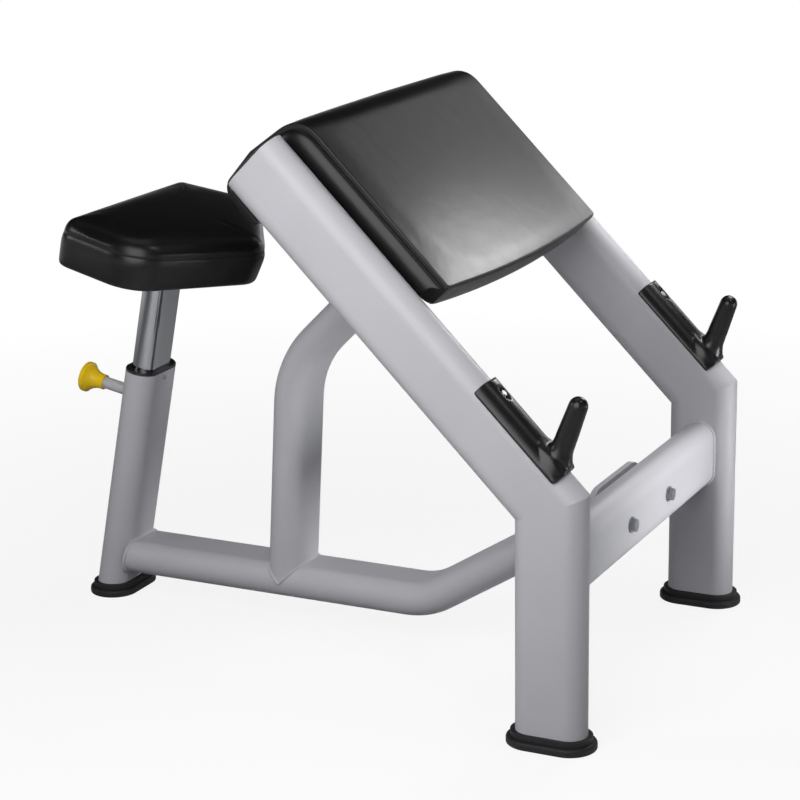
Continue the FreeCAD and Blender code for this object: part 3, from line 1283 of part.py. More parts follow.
def pull_pin():
    barrel = new_body("pin_barrel")
    sketch = new_sketch(barrel, "XZ_Plane")
    start = "Sizes.tube_thick / 2"
    nose = f"{start} + Sizes.barrel_nose"
    tail = "Sizes.barrel_end - Sizes.barrel_nose"
    guide = "Sizes.pin_radius + Sizes.pin_running_gap"
    rod_guide = "Sizes.rod_radius + Sizes.pin_running_gap"
    add_polygon(sketch, [
        (guide, start), ("Sizes.barrel_radius", start),
        ("Sizes.barrel_radius", "Sizes.barrel_end"), (rod_guide, "Sizes.barrel_end"),
        (rod_guide, tail), ("Sizes.barrel_bore_radius", tail),
        ("Sizes.barrel_bore_radius", nose), (guide, nose),
    ])
    revolve(barrel, sketch)
    node(barrel, "pin_barrel", pin_frame())

    plunger = new_body("plunger")
    sketch = new_sketch(plunger, "XZ_Plane")
    tip = "Sizes.inner_thick / 2 + Sizes.pin_stand_off"
    collar_end = "Sizes.collar_start + Sizes.collar_thick"
    add_polygon(sketch, [
        ("0", tip), ("Sizes.pin_radius", tip),
        ("Sizes.pin_radius", "Sizes.collar_start"), ("Sizes.collar_radius", "Sizes.collar_start"),
        ("Sizes.collar_radius", collar_end), ("Sizes.rod_radius", collar_end),
        ("Sizes.rod_radius", "Sizes.rod_end"), ("0", "Sizes.rod_end"),
    ])
    revolve(plunger, sketch)
    node(plunger, "plunger", pin_frame())

    knob = new_body("knob")
    sketch = new_sketch(knob, "XZ_Plane")
    neck_end = "Sizes.knob_start + Sizes.knob_neck_length"
    socket_end = "Sizes.knob_start + Sizes.knob_socket_depth"
    socket = "Sizes.barrel_radius + Sizes.knob_socket_gap"
    bell_end = "Sizes.knob_bell_start + Sizes.knob_bell_length"
    dome = "Sizes.knob_end - Sizes.knob_dome"
    face = "Sizes.knob_bell_radius - Sizes.knob_dome"
    dome_radius = f"(({face}) ^ 2 + Sizes.knob_dome ^ 2) / (2 * Sizes.knob_dome)"
    add_profile(sketch, [
        (socket, "Sizes.knob_start"),
        ("Sizes.knob_neck_radius", "Sizes.knob_start"),
        ("Sizes.knob_neck_radius", neck_end, "Sizes.knob_flare_radius", "left"),
        ("Sizes.knob_bell_radius", "Sizes.knob_bell_start"),
        ("Sizes.knob_bell_radius", bell_end, "Sizes.knob_rim_radius", "right"),
        (face, dome, dome_radius, "right"),
        ("0", "Sizes.knob_end"),
        ("0", "Sizes.rod_end"),
        ("Sizes.rod_radius", "Sizes.rod_end"),
        ("Sizes.rod_radius", socket_end),
        (socket, socket_end),
    ])
    revolve(knob, sketch)
    node(knob, "knob", pin_frame())


def pin_spring():
    """Compression spring held inside the rear of the barrel."""
    wire = size("spring_wire")
    start = size("spring_start") + wire
    end = size("barrel_end") - size("barrel_nose") - wire - size("spring_gap")
    radius = size("spring_radius")
    helix = Part.makeHelix(size("spring_pitch"), end - start, radius)
    section = Part.Wire(Part.makeCircle(wire, vec(radius, 0, 0), vec(0, 1, 0)))
    coil = Part.Wire(helix).makePipeShell([section], True, True)
    shaped_piece("pin_spring", coil, frame(post_point(0, size("pin_t"), start), X_AXIS, POST_BACK))


def fixings():
    bolt = cushion_bolt()
    nut = tee_nut()
    doc.recompute()
    cushion_fixings(bolt, nut)
    seat_fixings(bolt, nut)


BUILDERS = (
    side_legs, side_rails, rail_caps, feet, cross_beam, flange_joint, spine_tube, upright_tube,
    pad_frame, pad_boards, arm_pad, bar_rests, post_sleeve, post_bushing, seat_post, seat_board,
    seat_cushion, fixings, pull_pin, pin_spring,
)
for build in BUILDERS:
    build()
doc.recompute()

for item in doc.Objects:
    if "Invalid" in item.State or "Error" in item.State:
        raise ValueError(f"{item.Label} failed to compute")
os.makedirs("parts", exist_ok=True)
for item in NODES:
    if item.Shape.isNull() or not item.Shape.isValid():
        raise ValueError(f"{item.Label} has no valid shape")
    item.Shape.exportStep(f"parts/{item.Label}.step")
    print(item.Label, len(item.Shape.Solids), round(item.Shape.Volume))
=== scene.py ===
import json
import math

import bmesh
import bpy
from mathutils import Matrix, Vector


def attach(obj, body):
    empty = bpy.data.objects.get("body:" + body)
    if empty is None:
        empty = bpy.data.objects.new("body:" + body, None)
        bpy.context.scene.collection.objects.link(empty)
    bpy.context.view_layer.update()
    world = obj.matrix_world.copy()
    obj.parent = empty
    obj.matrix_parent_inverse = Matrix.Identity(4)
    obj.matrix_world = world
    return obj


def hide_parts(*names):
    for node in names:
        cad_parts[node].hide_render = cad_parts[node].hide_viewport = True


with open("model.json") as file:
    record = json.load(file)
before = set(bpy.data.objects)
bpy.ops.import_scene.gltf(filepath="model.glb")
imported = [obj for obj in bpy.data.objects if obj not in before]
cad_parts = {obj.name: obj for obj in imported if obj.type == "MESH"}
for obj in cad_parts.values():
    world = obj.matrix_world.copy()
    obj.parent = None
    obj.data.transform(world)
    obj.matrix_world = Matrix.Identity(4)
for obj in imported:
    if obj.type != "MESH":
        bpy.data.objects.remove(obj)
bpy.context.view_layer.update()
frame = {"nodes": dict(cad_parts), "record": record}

bl_info = {
    "name": "Preacher curl bench",
    "version": (1, 0, 0),
    "blender": (4, 5, 0),
    "location": "View3D > Sidebar > Bench",
    "description": "Dresses the packed preacher curl bench with paint, chrome, vinyl cushions and a studio",
    "category": "Object",
}

MM = 0.001


def linear(code):
    """Linear colour of an sRGB hex value."""
    parts = [int(code[i:i + 2], 16) / 255 for i in (1, 3, 5)]
    parts = [p / 12.92 if p <= 0.04045 else ((p + 0.055) / 1.055) ** 2.4 for p in parts]
    return (*parts, 1.0)


def length(name, description, millimetres):
    """A length property with its default in millimetres."""
    return bpy.props.FloatProperty(
        name=name, description=description, default=millimetres * MM, unit="LENGTH")


def angle(name, description, degrees):
    """An angle property with its default in degrees."""
    return bpy.props.FloatProperty(
        name=name, description=description, default=math.radians(degrees), unit="ROTATION")


def colour(name, description, code):
    """A colour property with its default as an sRGB hex value."""
    return bpy.props.FloatVectorProperty(
        name=name, description=description, size=4, subtype="COLOR", min=0, max=1, default=linear(code))


class BenchSizes(bpy.types.PropertyGroup):
    """Sizes of the frame lines and of the soft and small pieces that follow them."""
    knee_y: length("Knee Y", "Knee of the side frames along Y", -502.83)
    knee_z: length("Knee height", "Knee of the side frames above the floor", 394)
    rail_angle: angle("Rail angle", "Rise of the rails toward the seat", 45)
    side_x: length("Side frame", "Middle plane to the middle of a side frame", 360)
    tube_half: length("Tube half width", "Half of the long way across the flat-oval tube", 60)
    tube_radius: length("Tube radius", "End radius of the flat-oval tube", 30)
    post_y: length("Post Y", "Foot of the seat post along Y", 511.17)
    post_z: length("Post height", "Foot of the seat post above the floor", 22)
    post_lean: angle("Post lean", "Forward lean of the seat post", 11)
    beam_z: length("Beam height", "Middle of the cross beam above the floor", 286)
    spine_z: length("Spine height", "Flat run of the spine above the floor", 74)
    spine_rise: angle("Spine rise", "Rise of the front of the spine", 32)
    flange_thick: length("Flange", "Thickness of the spine flange", 10)
    upright_y: length("Upright Y", "Upright on the spine along Y", 147.67)
    upright_lean: angle("Upright lean", "Forward lean of the upright", 3.5)
    cross_s: length("Pad tube", "Pad cross tube up along the rail", 500)
    cross_n: length("Pad tube rise", "Pad cross tube out of the rail line", 8)
    plate_t: length("Seat plate", "Underside of the seat plate up the post", 622)
    pin_t: length("Pull pin", "Axis of the pull pin up the post", 360)
    pin_weld: length("Pin weld", "Radius of the weld round the pull pin's barrel", 11)
    inner_flat: length("Inner post flat", "Half of the flat side of the chromed post", 22.5)
    inner_radius: length("Inner post radius", "End radius of the chromed post", 22.5)
    plate_weld: length("Plate weld", "Half width of the weld under the seat plate", 2.6)
    weld_pitch: length("Weld pitch", "Distance between the ripples of a weld", 3)
    weld_radius: length("Weld size", "Half width of a weld bead", 3.4)
    pad_half: length("Pad half width", "Half width of the arm pad", 322)
    pad_low: length("Pad lower edge", "Lower edge of the arm pad along the rail", 347)
    pad_sweep: length("Pad sweep", "How far the lower edge rises toward its ends", 15)
    pad_corner: length("Pad corners", "Rounding of the lower corners of the arm pad in plan", 18)
    pad_top: length("Pad top", "Arm surface out of the rail line at the sides", 88.5)
    pad_crown: length("Pad crown", "Extra height of the arm surface in the middle", 3)
    pad_base: length("Pad base", "Underside of the arm pad out of the rail line", 43.6)
    pad_end: length("Pad upper end", "Upper end of the arm surface along the rail", 726)
    pad_nose: length("Chest nose", "Farthest point of the chest nose along the rail", 743)
    pad_nose_drop: length("Nose height", "That point out of the rail line", -22)
    pad_tail: length("Nose lower end", "Lower end of the chest nose along the rail", 736)
    pad_tail_drop: length("Nose drop", "Lower end of the chest nose out of the rail line", -105)
    chest_face: length("Chest face", "Inner face of the chest nose along the rail", 653.6)
    pad_edge_round: length("Pad edge", "Rounding of the lower and inner edges of the arm pad", 5)
    pad_top_round: length("Pad top rounding", "Rounding from the arm surface into the chest nose", 48)
    pad_nose_round: length("Nose rounding", "Rounding of the chest nose", 26)
    pad_inner_round: length("Pad inner corner", "Rounding where the two undersides meet", 3)
    pad_least_round: length("Least rounding", "Least rounding where the section is drawn in", 2)
    pad_sewn: length("Pad sewn width", "Width at each end of the pad that the seam holds still", 16)
    pad_swell: length("Pad swell", "Most that the stuffed arm pad swells", 2)
    seat_base: length("Seat base", "Underside of the seat cushion up the post", 628)
    seat_rear_x: length("Seat rear corners", "Rear corners of the seat from the middle plane", 200)
    seat_rear_v: length("Seat rear", "Rear corners of the seat behind the post axis", 110.4)
    seat_rear_round: length("Rear rounding", "Rounding of the rear corners in plan", 35)
    seat_side_x: length("Seat widest corners", "Widest corners of the seat from the middle plane", 228.5)
    seat_side_v: length("Seat widest place", "Widest corners of the seat along the bench", -65)
    seat_side_round: length("Side rounding", "Rounding of the widest corners in plan", 80)
    seat_nose_v: length("Seat nose", "Nose of the seat before the post axis", -199.2)
    seat_nose_round: length("Seat nose rounding", "Rounding of the nose in plan", 43)
    seat_nose_draw: length("Nose draw", "Nose drawn back at the underside of the seat", 14.5)
    seat_draw_high: length("Draw height", "Height above which the nose is not drawn back", 55)
    seat_middle: length("Seat middle", "Middle of the rings behind the middle of the seat", 15)
    seat_crown: length("Seat crown", "Radius of the circle that the rings of the crown draw toward", 150)
    seat_swell: length("Seat swell", "Most that the stuffed seat swells", 1.5)
    stitch_pitch: length("Stitch pitch", "Distance from stitch to stitch", 5)
    stitch_long: length("Stitch", "Length of one stitch", 3.6)
    stitch_thick: length("Thread", "Half thickness of the sewing thread", 0.45)
    rest_voxel: length("Rest detail", "Mesh spacing of the moulded bar rests", 1.7)
    rest_round: length("Rest rounding", "Outer radius of the bar rests round the top of the rail", 38)
    horn_s: length("Horn foot", "Foot of the horn's axis along the rail", 45)
    horn_n: length("Horn foot rise", "Foot of the horn's axis out of the rail line", 55)
    horn_lean: angle("Horn lean", "Lean of the horn from square to the rail", 25)
    horn_neck: length("Horn neck", "Radius of the horn above its flare", 17.6)
    horn_flare: length("Horn flare", "Extra radius at the foot of the flare", 15)
    flare_low: length("Flare start", "Start of the flare up the horn's axis", 8)
    flare_long: length("Flare length", "Length of the flare along the horn's axis", 32)
    horn_clear: length("Horn clearance", "Distance from the horn's axis that keeps its own shape", 24)
    horn_blend: length("Horn blend", "Width over which the round shell takes over", 14)


class BenchColours(bpy.types.PropertyGroup):
    """Colours of the finishes."""
    paint: colour("Paint", "Silver-grey powder coat", "#c2c2c7")
    vinyl: colour("Vinyl", "Black upholstery vinyl", "#121213")
    thread: colour("Thread", "Sewing thread", "#060606")
    rubber: colour("Rubber", "Black rubber feet", "#1d1d1f")
    plastic: colour("Plastic", "Black plastic caps and bushing", "#19191b")
    moulding: colour("Moulding", "Moulded black bar rests", "#141416")
    knob: colour("Knob", "Yellow pull knob", "#ffd31e")
    chrome: colour("Chrome", "Chromed inner post", "#a6a8ac")
    zinc: colour("Zinc", "Zinc-plated fasteners", "#95979c")
    veneer: colour("Veneer", "Plywood face", "#b98f5f")
    floor: colour("Floor", "Studio floor", "#f4f4f4")
    bounce: colour("Floor bounce", "Studio floor as it lights the bench from below", "#727275")


def sizes():
    """The sizes of the scene in use."""
    return bpy.context.scene.bench_sizes


def colours():
    """The colours of the scene in use."""
    return bpy.context.scene.bench_colours


def rail_point(across, along, up):
    """A point across the bench, up along the rail from its knee, and square out of the rail."""
    z = sizes()
    c, s = math.cos(z.rail_angle), math.sin(z.rail_angle)
    return Vector((across, z.knee_y + along * c - up * s, z.knee_z + along * s + up * c))


def rail_place(point):
    """How far a point lies across the bench, up along the rail and square out of it."""
    z = sizes()
    c, s = math.cos(z.rail_angle), math.sin(z.rail_angle)
    y, height = point.y - z.knee_y, point.z - z.knee_z
    return point.x, y * c + height * s, height * c - y * s


def post_point(across, along, back):
    """A point across the bench, up along the seat post, and back from its axis."""
    z = sizes()
    c, s = math.cos(z.post_lean), math.sin(z.post_lean)
    return Vector((across, z.post_y - along * s + back * c, z.post_z + along * c + back * s))


def add_node(tree, kind, inputs=None, **settings):
    """Add a node; an input that is a socket is linked, any other value is set."""
    node = tree.nodes.new(kind)
    for name, value in settings.items():
        setattr(node, name, value)
    for name, value in (inputs or {}).items():
        if isinstance(value, bpy.types.NodeSocket):
            tree.links.new(value, node.inputs[name])
        else:
            node.inputs[name].default_value = value
    return node


def noise(tree, place, across_mm, detail):
    """Noise with clouds about so many millimetres across."""
    return add_node(tree, "ShaderNodeTexNoise", {
        "Vector": place, "Scale": 1 / (across_mm * MM), "Detail": detail}).outputs["Fac"]


def new_material(name, **values):
    """A material with a bare principled shader whose constant sockets are set from the values."""
    material = bpy.data.materials.new(name)
    material.use_nodes = True
    tree = material.node_tree
    tree.nodes.clear()
    shader = add_node(tree, "ShaderNodeBsdfPrincipled")
    for socket, value in values.items():
        shader.inputs[socket.replace("_", " ")].default_value = value
    output = add_node(tree, "ShaderNodeOutputMaterial")
    tree.links.new(shader.outputs["BSDF"], output.inputs["Surface"])
    return material, tree, shader


def tinted(base, factor):
    """A colour made lighter or darker."""
    return (*[min(1.0, part * factor) for part in base[:3]], 1.0)


def surface_detail(tree, shader, base, spread, tone_mm, rough, grain, strength, depth_mm):
    """Mottled colour, uneven roughness and a bump from a grain node, all on object coordinates."""
    place = add_node(tree, "ShaderNodeTexCoord").outputs["Object"]
    tone = noise(tree, place, tone_mm, 3.0)
    ramp = add_node(tree, "ShaderNodeValToRGB", {"Fac": tone})
    ramp.color_ramp.elements[0].position = 0.3
    ramp.color_ramp.elements[0].color = tinted(base, 1 - spread)
    ramp.color_ramp.elements[1].position = 0.7
    ramp.color_ramp.elements[1].color = tinted(base, 1 + spread)
    tree.links.new(ramp.outputs["Color"], shader.inputs["Base Color"])
    span = add_node(tree, "ShaderNodeMapRange", {"Value": tone, "To Min": rough[0], "To Max": rough[1]})
    tree.links.new(span.outputs["Result"], shader.inputs["Roughness"])
    bump = add_node(tree, "ShaderNodeBump", {
        "Height": grain(place), "Strength": strength, "Distance": depth_mm * MM})
    tree.links.new(bump.outputs["Normal"], shader.inputs["Normal"])


def powder_coat():
    # Satin powder coat on steel: an even pale grey, with the faint orange-peel ripple of baked powder.
    material, tree, shader = new_material("powder_coat_satin_grey", Specular_IOR_Level=0.38)

    def peel(place):
        return noise(tree, place, 3.2, 2.0)

    surface_detail(
        tree, shader, colours().paint, spread=0.025, tone_mm=140, rough=(0.4, 0.5),
        grain=peel, strength=0.05, depth_mm=0.5)
    return material


def upholstery_vinyl():
    # Embossed upholstery vinyl: near black, glossy, with a fine leather grain drawn a little coarse to show.
    material, tree, shader = new_material("upholstery_vinyl_black", Specular_IOR_Level=0.31)

    def grain(place):
        cells = add_node(tree, "ShaderNodeTexVoronoi", {
            "Vector": place, "Scale": 1 / (2.6 * MM)}, feature="SMOOTH_F1")
        creases = noise(tree, place, 30, 1.0)
        deep = add_node(tree, "ShaderNodeMath", {0: creases, 1: 7.0}, operation="MULTIPLY")
        both = add_node(tree, "ShaderNodeMath", {
            0: cells.outputs["Distance"], 1: deep.outputs[0]}, operation="ADD")
        return both.outputs[0]

    surface_detail(
        tree, shader, colours().vinyl, spread=0.12, tone_mm=45, rough=(0.27, 0.37),
        grain=grain, strength=0.12, depth_mm=0.5)
    return material


def moulded_rubber():
    # Moulded rubber: dull black with a fine spark-eroded grain.
    material, tree, shader = new_material("moulded_rubber_black", Specular_IOR_Level=0.4)

    def grain(place):
        return noise(tree, place, 1.6, 3.0)

    surface_detail(
        tree, shader, colours().rubber, spread=0.15, tone_mm=45, rough=(0.5, 0.68),
        grain=grain, strength=0.18, depth_mm=0.4)
    return material


def satin_plastic():
    # Injection-moulded nylon: satin black with a light texture.
    material, tree, shader = new_material("nylon_satin_black")

    def grain(place):
        return noise(tree, place, 1.2, 2.0)

    surface_detail(
        tree, shader, colours().plastic, spread=0.12, tone_mm=30, rough=(0.38, 0.5),
        grain=grain, strength=0.1, depth_mm=0.3)
    return material


def cast_urethane():
    # Cast polyurethane: glossy black skin with soft flow ripples and small scuffs.
    material, tree, shader = new_material("cast_urethane_black", Specular_IOR_Level=0.4)

    def ripples(place):
        return noise(tree, place, 7, 3.0)

    surface_detail(
        tree, shader, colours().moulding, spread=0.15, tone_mm=25, rough=(0.25, 0.34),
        grain=ripples, strength=0.03, depth_mm=0.6)
    return material


def knob_plastic():
    # Glossy ABS: clear yellow with a barely uneven moulded skin.
    material, tree, shader = new_material("abs_gloss_yellow", Specular_IOR_Level=0.25)

    def skin(place):
        return noise(tree, place, 4, 2.0)

    surface_detail(
        tree, shader, colours().knob, spread=0.05, tone_mm=18, rough=(0.24, 0.32),
        grain=skin, strength=0.06, depth_mm=0.4)
    return material


def chrome_plate():
    # Chrome plate on drawn tube: a bright mirror with faint draw lines along the post.
    material, tree, shader = new_material("chrome_plate_polished", Metallic=1.0)

    def draw_lines(place):
        turned = add_node(tree, "ShaderNodeMapping", {
            "Vector": place, "Rotation": (sizes().post_lean, 0, 0), "Scale": (1, 1, 0.02)})
        return noise(tree, turned.outputs["Vector"], 2, 3.0)

    surface_detail(
        tree, shader, colours().chrome, spread=0.02, tone_mm=40, rough=(0.06, 0.13),
        grain=draw_lines, strength=0.04, depth_mm=0.2)
    return material


def zinc_plate():
    # Zinc-plated steel: a soft silver with a slight bluish cloud.
    material, tree, shader = new_material("zinc_plate_bright", Metallic=0.9)

    def grain(place):
        return noise(tree, place, 0.9, 2.0)

    surface_detail(
        tree, shader, colours().zinc, spread=0.08, tone_mm=8, rough=(0.28, 0.42),
        grain=grain, strength=0.08, depth_mm=0.2)
    return material


def birch_plywood():
    # Raw birch plywood: warm veneer with long grain across the bench.
    material, tree, shader = new_material("birch_plywood_raw")

    def veneer(place):
        drawn = add_node(tree, "ShaderNodeMapping", {"Vector": place, "Scale": (0.06, 1, 1)})
        return noise(tree, drawn.outputs["Vector"], 3, 5.0)

    surface_detail(
        tree, shader, colours().veneer, spread=0.14, tone_mm=35, rough=(0.6, 0.75),
        grain=veneer, strength=0.2, depth_mm=0.4)
    return material


def sewing_thread():
    # Bonded polyester thread: dark, slightly shiny, with its twist too fine to draw.
    material, tree, shader = new_material("bonded_thread_black", Specular_IOR_Level=0.15)

    def twist(place):
        return noise(tree, place, 0.8, 2.0)

    surface_detail(
        tree, shader, colours().thread, spread=0.2, tone_mm=6, rough=(0.4, 0.55),
        grain=twist, strength=0.2, depth_mm=0.2)
    return material


FINISHES = {
    "frame_paint": powder_coat,
    "chrome": chrome_plate,
    "black_vinyl": upholstery_vinyl,
    "black_rubber": moulded_rubber,
    "black_plastic": satin_plastic,
    "moulded_black": cast_urethane,
    "yellow_plastic": knob_plastic,
    "plywood": birch_plywood,
    "zinc_steel": zinc_plate,
    "thread": sewing_thread,
}
MADE = {}


def finish(slot):
    """The material of a finish, made once."""
    if slot not in MADE:
        MADE[slot] = FINISHES[slot]()
    return MADE[slot]


def dress(*nodes):
    """Give CAD nodes the finish of their record slot."""
    slots = {item["node"]: item["material_slot"] for item in frame["record"]["subparts"]}
    for name in nodes:
        mesh = frame["nodes"][name].data
        mesh.materials.clear()
        mesh.materials.append(finish(slots[name]))


def new_object(name, mesh, slot):
    """An object of a mesh in the finish of a slot."""
    mesh.materials.clear()
    mesh.materials.append(finish(slot))
    obj = bpy.data.objects.new(name, mesh)
    bpy.context.scene.collection.objects.link(obj)
    return obj


def baked(obj):
    """Replace an object's mesh by its evaluated one and drop its modifiers."""
    graph = bpy.context.evaluated_depsgraph_get()
    mesh = bpy.data.meshes.new_from_object(obj.evaluated_get(graph))
    obj.modifiers.clear()
    obj.data = mesh
    return obj


def settle(obj, body, slot, *nodes):
    """Let a finished piece ride a body and stand for CAD nodes, which it hides; the slot is not used."""
    if nodes:
        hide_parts(*nodes)
    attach(obj, body)
    return obj


def smooth(mesh):
    """Shade every face of a mesh smooth."""
    mesh.polygons.foreach_set("use_smooth", [True] * len(mesh.polygons))


def rounded_loop(corners, runs, arc_steps):
    """Points round a closed outline.

    Each corner holds two coordinates and a radius; runs says into how many parts each side is cut.
    """
    arcs = []
    count = len(corners)
    for index, (x, y, radius) in enumerate(corners):
        here = Vector((x, y))
        before = (Vector(corners[index - 1][:2]) - here).normalized()
        after = (Vector(corners[(index + 1) % count][:2]) - here).normalized()
        half = before.angle(after) / 2
        reach = radius / math.tan(half)
        centre = here + (before + after).normalized() * (radius / math.sin(half))
        start = here + before * reach - centre
        turn = math.pi - 2 * half
        sign = 1 if before.x * after.y - before.y * after.x < 0 else -1
        arc = []
        for step in range(arc_steps + 1):
            spin = Matrix.Rotation(sign * turn * step / arc_steps, 2)
            arc.append(centre + spin @ start)
        arcs.append(arc)
    points = []
    for index, arc in enumerate(arcs):
        following = arcs[(index + 1) % count][0]
        points += arc
        for step in range(1, runs[index]):
            points.append(arc[-1].lerp(following, step / runs[index]))
    return points


def outward(points):
    """Unit normals of a closed outline, pointing away from its inside."""
    area = sum(a.x * b.y - a.y * b.x for a, b in zip(points, points[1:] + points[:1]))
    sign = 1 if area > 0 else -1
    normals = []
    for index in range(len(points)):
        along = points[(index + 1) % len(points)] - points[index - 1]
        normals.append(Vector((along.y, -along.x)).normalized() * sign)
    return normals


def bridge(mesh_data, rings, closed_ends):
    """Quads between rings of equal length; returns the vertices of every ring."""
    made = [[mesh_data.verts.new(point) for point in ring] for ring in rings]
    count = len(rings[0])
    for low, high in zip(made, made[1:]):
        for index in range(count):
            after = (index + 1) % count
            mesh_data.faces.new((low[index], low[after], high[after], high[index]))
    if closed_ends:
        for ring in (made[0], made[-1]):
            mesh_data.faces.new(ring)
    return made


# Air pressure in a cushion, and the frames that it gets to swell.
STUFFING_PRESSURE = 4.0
STUFFING_FRAMES = 20


def stuffed(obj, held, cap):
    """Swell a cushion with air pressure while its sewn and boarded points stay held."""
    group = obj.vertex_groups.new(name="held")
    group.add(held, 1.0, "REPLACE")
    before = [vertex.co.copy() for vertex in obj.data.vertices]
    cloth = obj.modifiers.new("stuffing", "CLOTH")
    skin = cloth.settings
    skin.vertex_group_mass = "held"
    skin.pin_stiffness = 1.0
    skin.use_pressure = True
    skin.uniform_pressure_force = STUFFING_PRESSURE
    skin.mass = 0.4
    skin.tension_stiffness = 40
    skin.compression_stiffness = 40
    skin.shear_stiffness = 20
    skin.bending_stiffness = 3
    skin.effector_weights.gravity = 0
    cloth.point_cache.frame_start = 1
    cloth.point_cache.frame_end = STUFFING_FRAMES
    scene = bpy.context.scene
    for step in range(1, STUFFING_FRAMES + 1):
        scene.frame_set(step)
    graph = bpy.context.evaluated_depsgraph_get()
    swollen = [vertex.co.copy() for vertex in obj.evaluated_get(graph).data.vertices]
    obj.modifiers.remove(cloth)
    scene.frame_set(1)
    for vertex, start, end in zip(obj.data.vertices, before, swollen):
        move = end - start
        if move.length > cap:
            move *= cap / move.length
        vertex.co = start + move
    obj.vertex_groups.clear()


def stitch_tree():
    """Rows of beads, such as stitches or weld ripples, along the edges of a wire mesh."""
    tree = bpy.data.node_groups.new("stitch_row", "GeometryNodeTree")
    face = tree.interface
    face.new_socket("Geometry", in_out="INPUT", socket_type="NodeSocketGeometry")
    for name in ("Pitch", "Length", "Thickness"):
        face.new_socket(name, in_out="INPUT", socket_type="NodeSocketFloat")
    face.new_socket("Material", in_out="INPUT", socket_type="NodeSocketMaterial")
    face.new_socket("Geometry", in_out="OUTPUT", socket_type="NodeSocketGeometry")
    source = add_node(tree, "NodeGroupInput").outputs
    line = add_node(tree, "GeometryNodeMeshToCurve", {"Mesh": source["Geometry"]})
    spaced = add_node(tree, "GeometryNodeResampleCurve", {
        "Curve": line.outputs["Curve"], "Length": source["Pitch"]}, mode="LENGTH")
    tangent = add_node(tree, "GeometryNodeInputTangent")
    turn = add_node(tree, "FunctionNodeAlignRotationToVector", {
        "Vector": tangent.outputs["Tangent"]}, axis="Z")
    bead = add_node(tree, "GeometryNodeMeshUVSphere", {"Segments": 8, "Rings": 6, "Radius": 1.0})
    half = add_node(tree, "ShaderNodeMath", {0: source["Length"], 1: 0.5}, operation="MULTIPLY")
    scale = add_node(tree, "ShaderNodeCombineXYZ", {
        "X": source["Thickness"], "Y": source["Thickness"], "Z": half.outputs[0]})
    placed = add_node(tree, "GeometryNodeInstanceOnPoints", {
        "Points": spaced.outputs["Curve"], "Instance": bead.outputs["Mesh"],
        "Rotation": turn.outputs["Rotation"], "Scale": scale.outputs["Vector"]})
    real = add_node(tree, "GeometryNodeRealizeInstances", {"Geometry": placed.outputs["Instances"]})
    shaded = add_node(tree, "GeometryNodeSetShadeSmooth", {"Geometry": real.outputs["Geometry"]})
    painted = add_node(tree, "GeometryNodeSetMaterial", {
        "Geometry": shaded.outputs["Geometry"], "Material": source["Material"]})
    add_node(tree, "NodeGroupOutput", {"Geometry": painted.outputs["Geometry"]})
    return tree


def beads_along(name, paths, slot, pitch, long, thick):
    """A mesh of beads set along paths of points; a path that ends where it starts is closed."""
    mesh = bpy.data.meshes.new(name)
    verts, edges = [], []
    for path in paths:
        closed = (path[0] - path[-1]).length < 0.1 * MM
        points = path[:-1] if closed else path
        first = len(verts)
        verts += points
        edges += [(first + i, first + i + 1) for i in range(len(points) - 1)]
        if closed:
            edges.append((first + len(points) - 1, first))
    mesh.from_pydata(verts, edges, [])
    obj = new_object(name, mesh, slot)
    tree = bpy.data.node_groups.get("stitch_row") or stitch_tree()
    modifier = obj.modifiers.new("beads", "NODES")
    modifier.node_group = tree
    values = {"Pitch": pitch, "Length": long, "Thickness": thick, "Material": finish(slot)}
    for item in tree.interface.items_tree:
        if item.in_out == "INPUT" and item.name in values:
            modifier[item.identifier] = values[item.name]
    return baked(obj)


def oval_path(place, flat, radius, steps=20):
    """A closed flat oval through place(long, short)."""
    path = []
    for end in (1, -1):
        for step in range(steps + 1):
            turn = math.pi * (step / steps - 0.5)
            path.append(place(end * (flat + radius * math.cos(turn)), end * radius * math.sin(turn)))
    return path + path[:1]


class BENCH_OT_frame(bpy.types.Operator):
    """Paint the welded frame"""
    bl_idname = "bench.frame"
    bl_label = "Painted frame"

    def execute(self, context):
        dress("leg_left", "leg_right", "rail_left", "rail_right", "cross_beam", "spine_tube",
              "spine_flange", "upright_tube", "pad_cross_tube", "pad_strap_left", "pad_strap_right",
              "post_sleeve", "pin_barrel", "seat_plate")
        return {"FINISHED"}


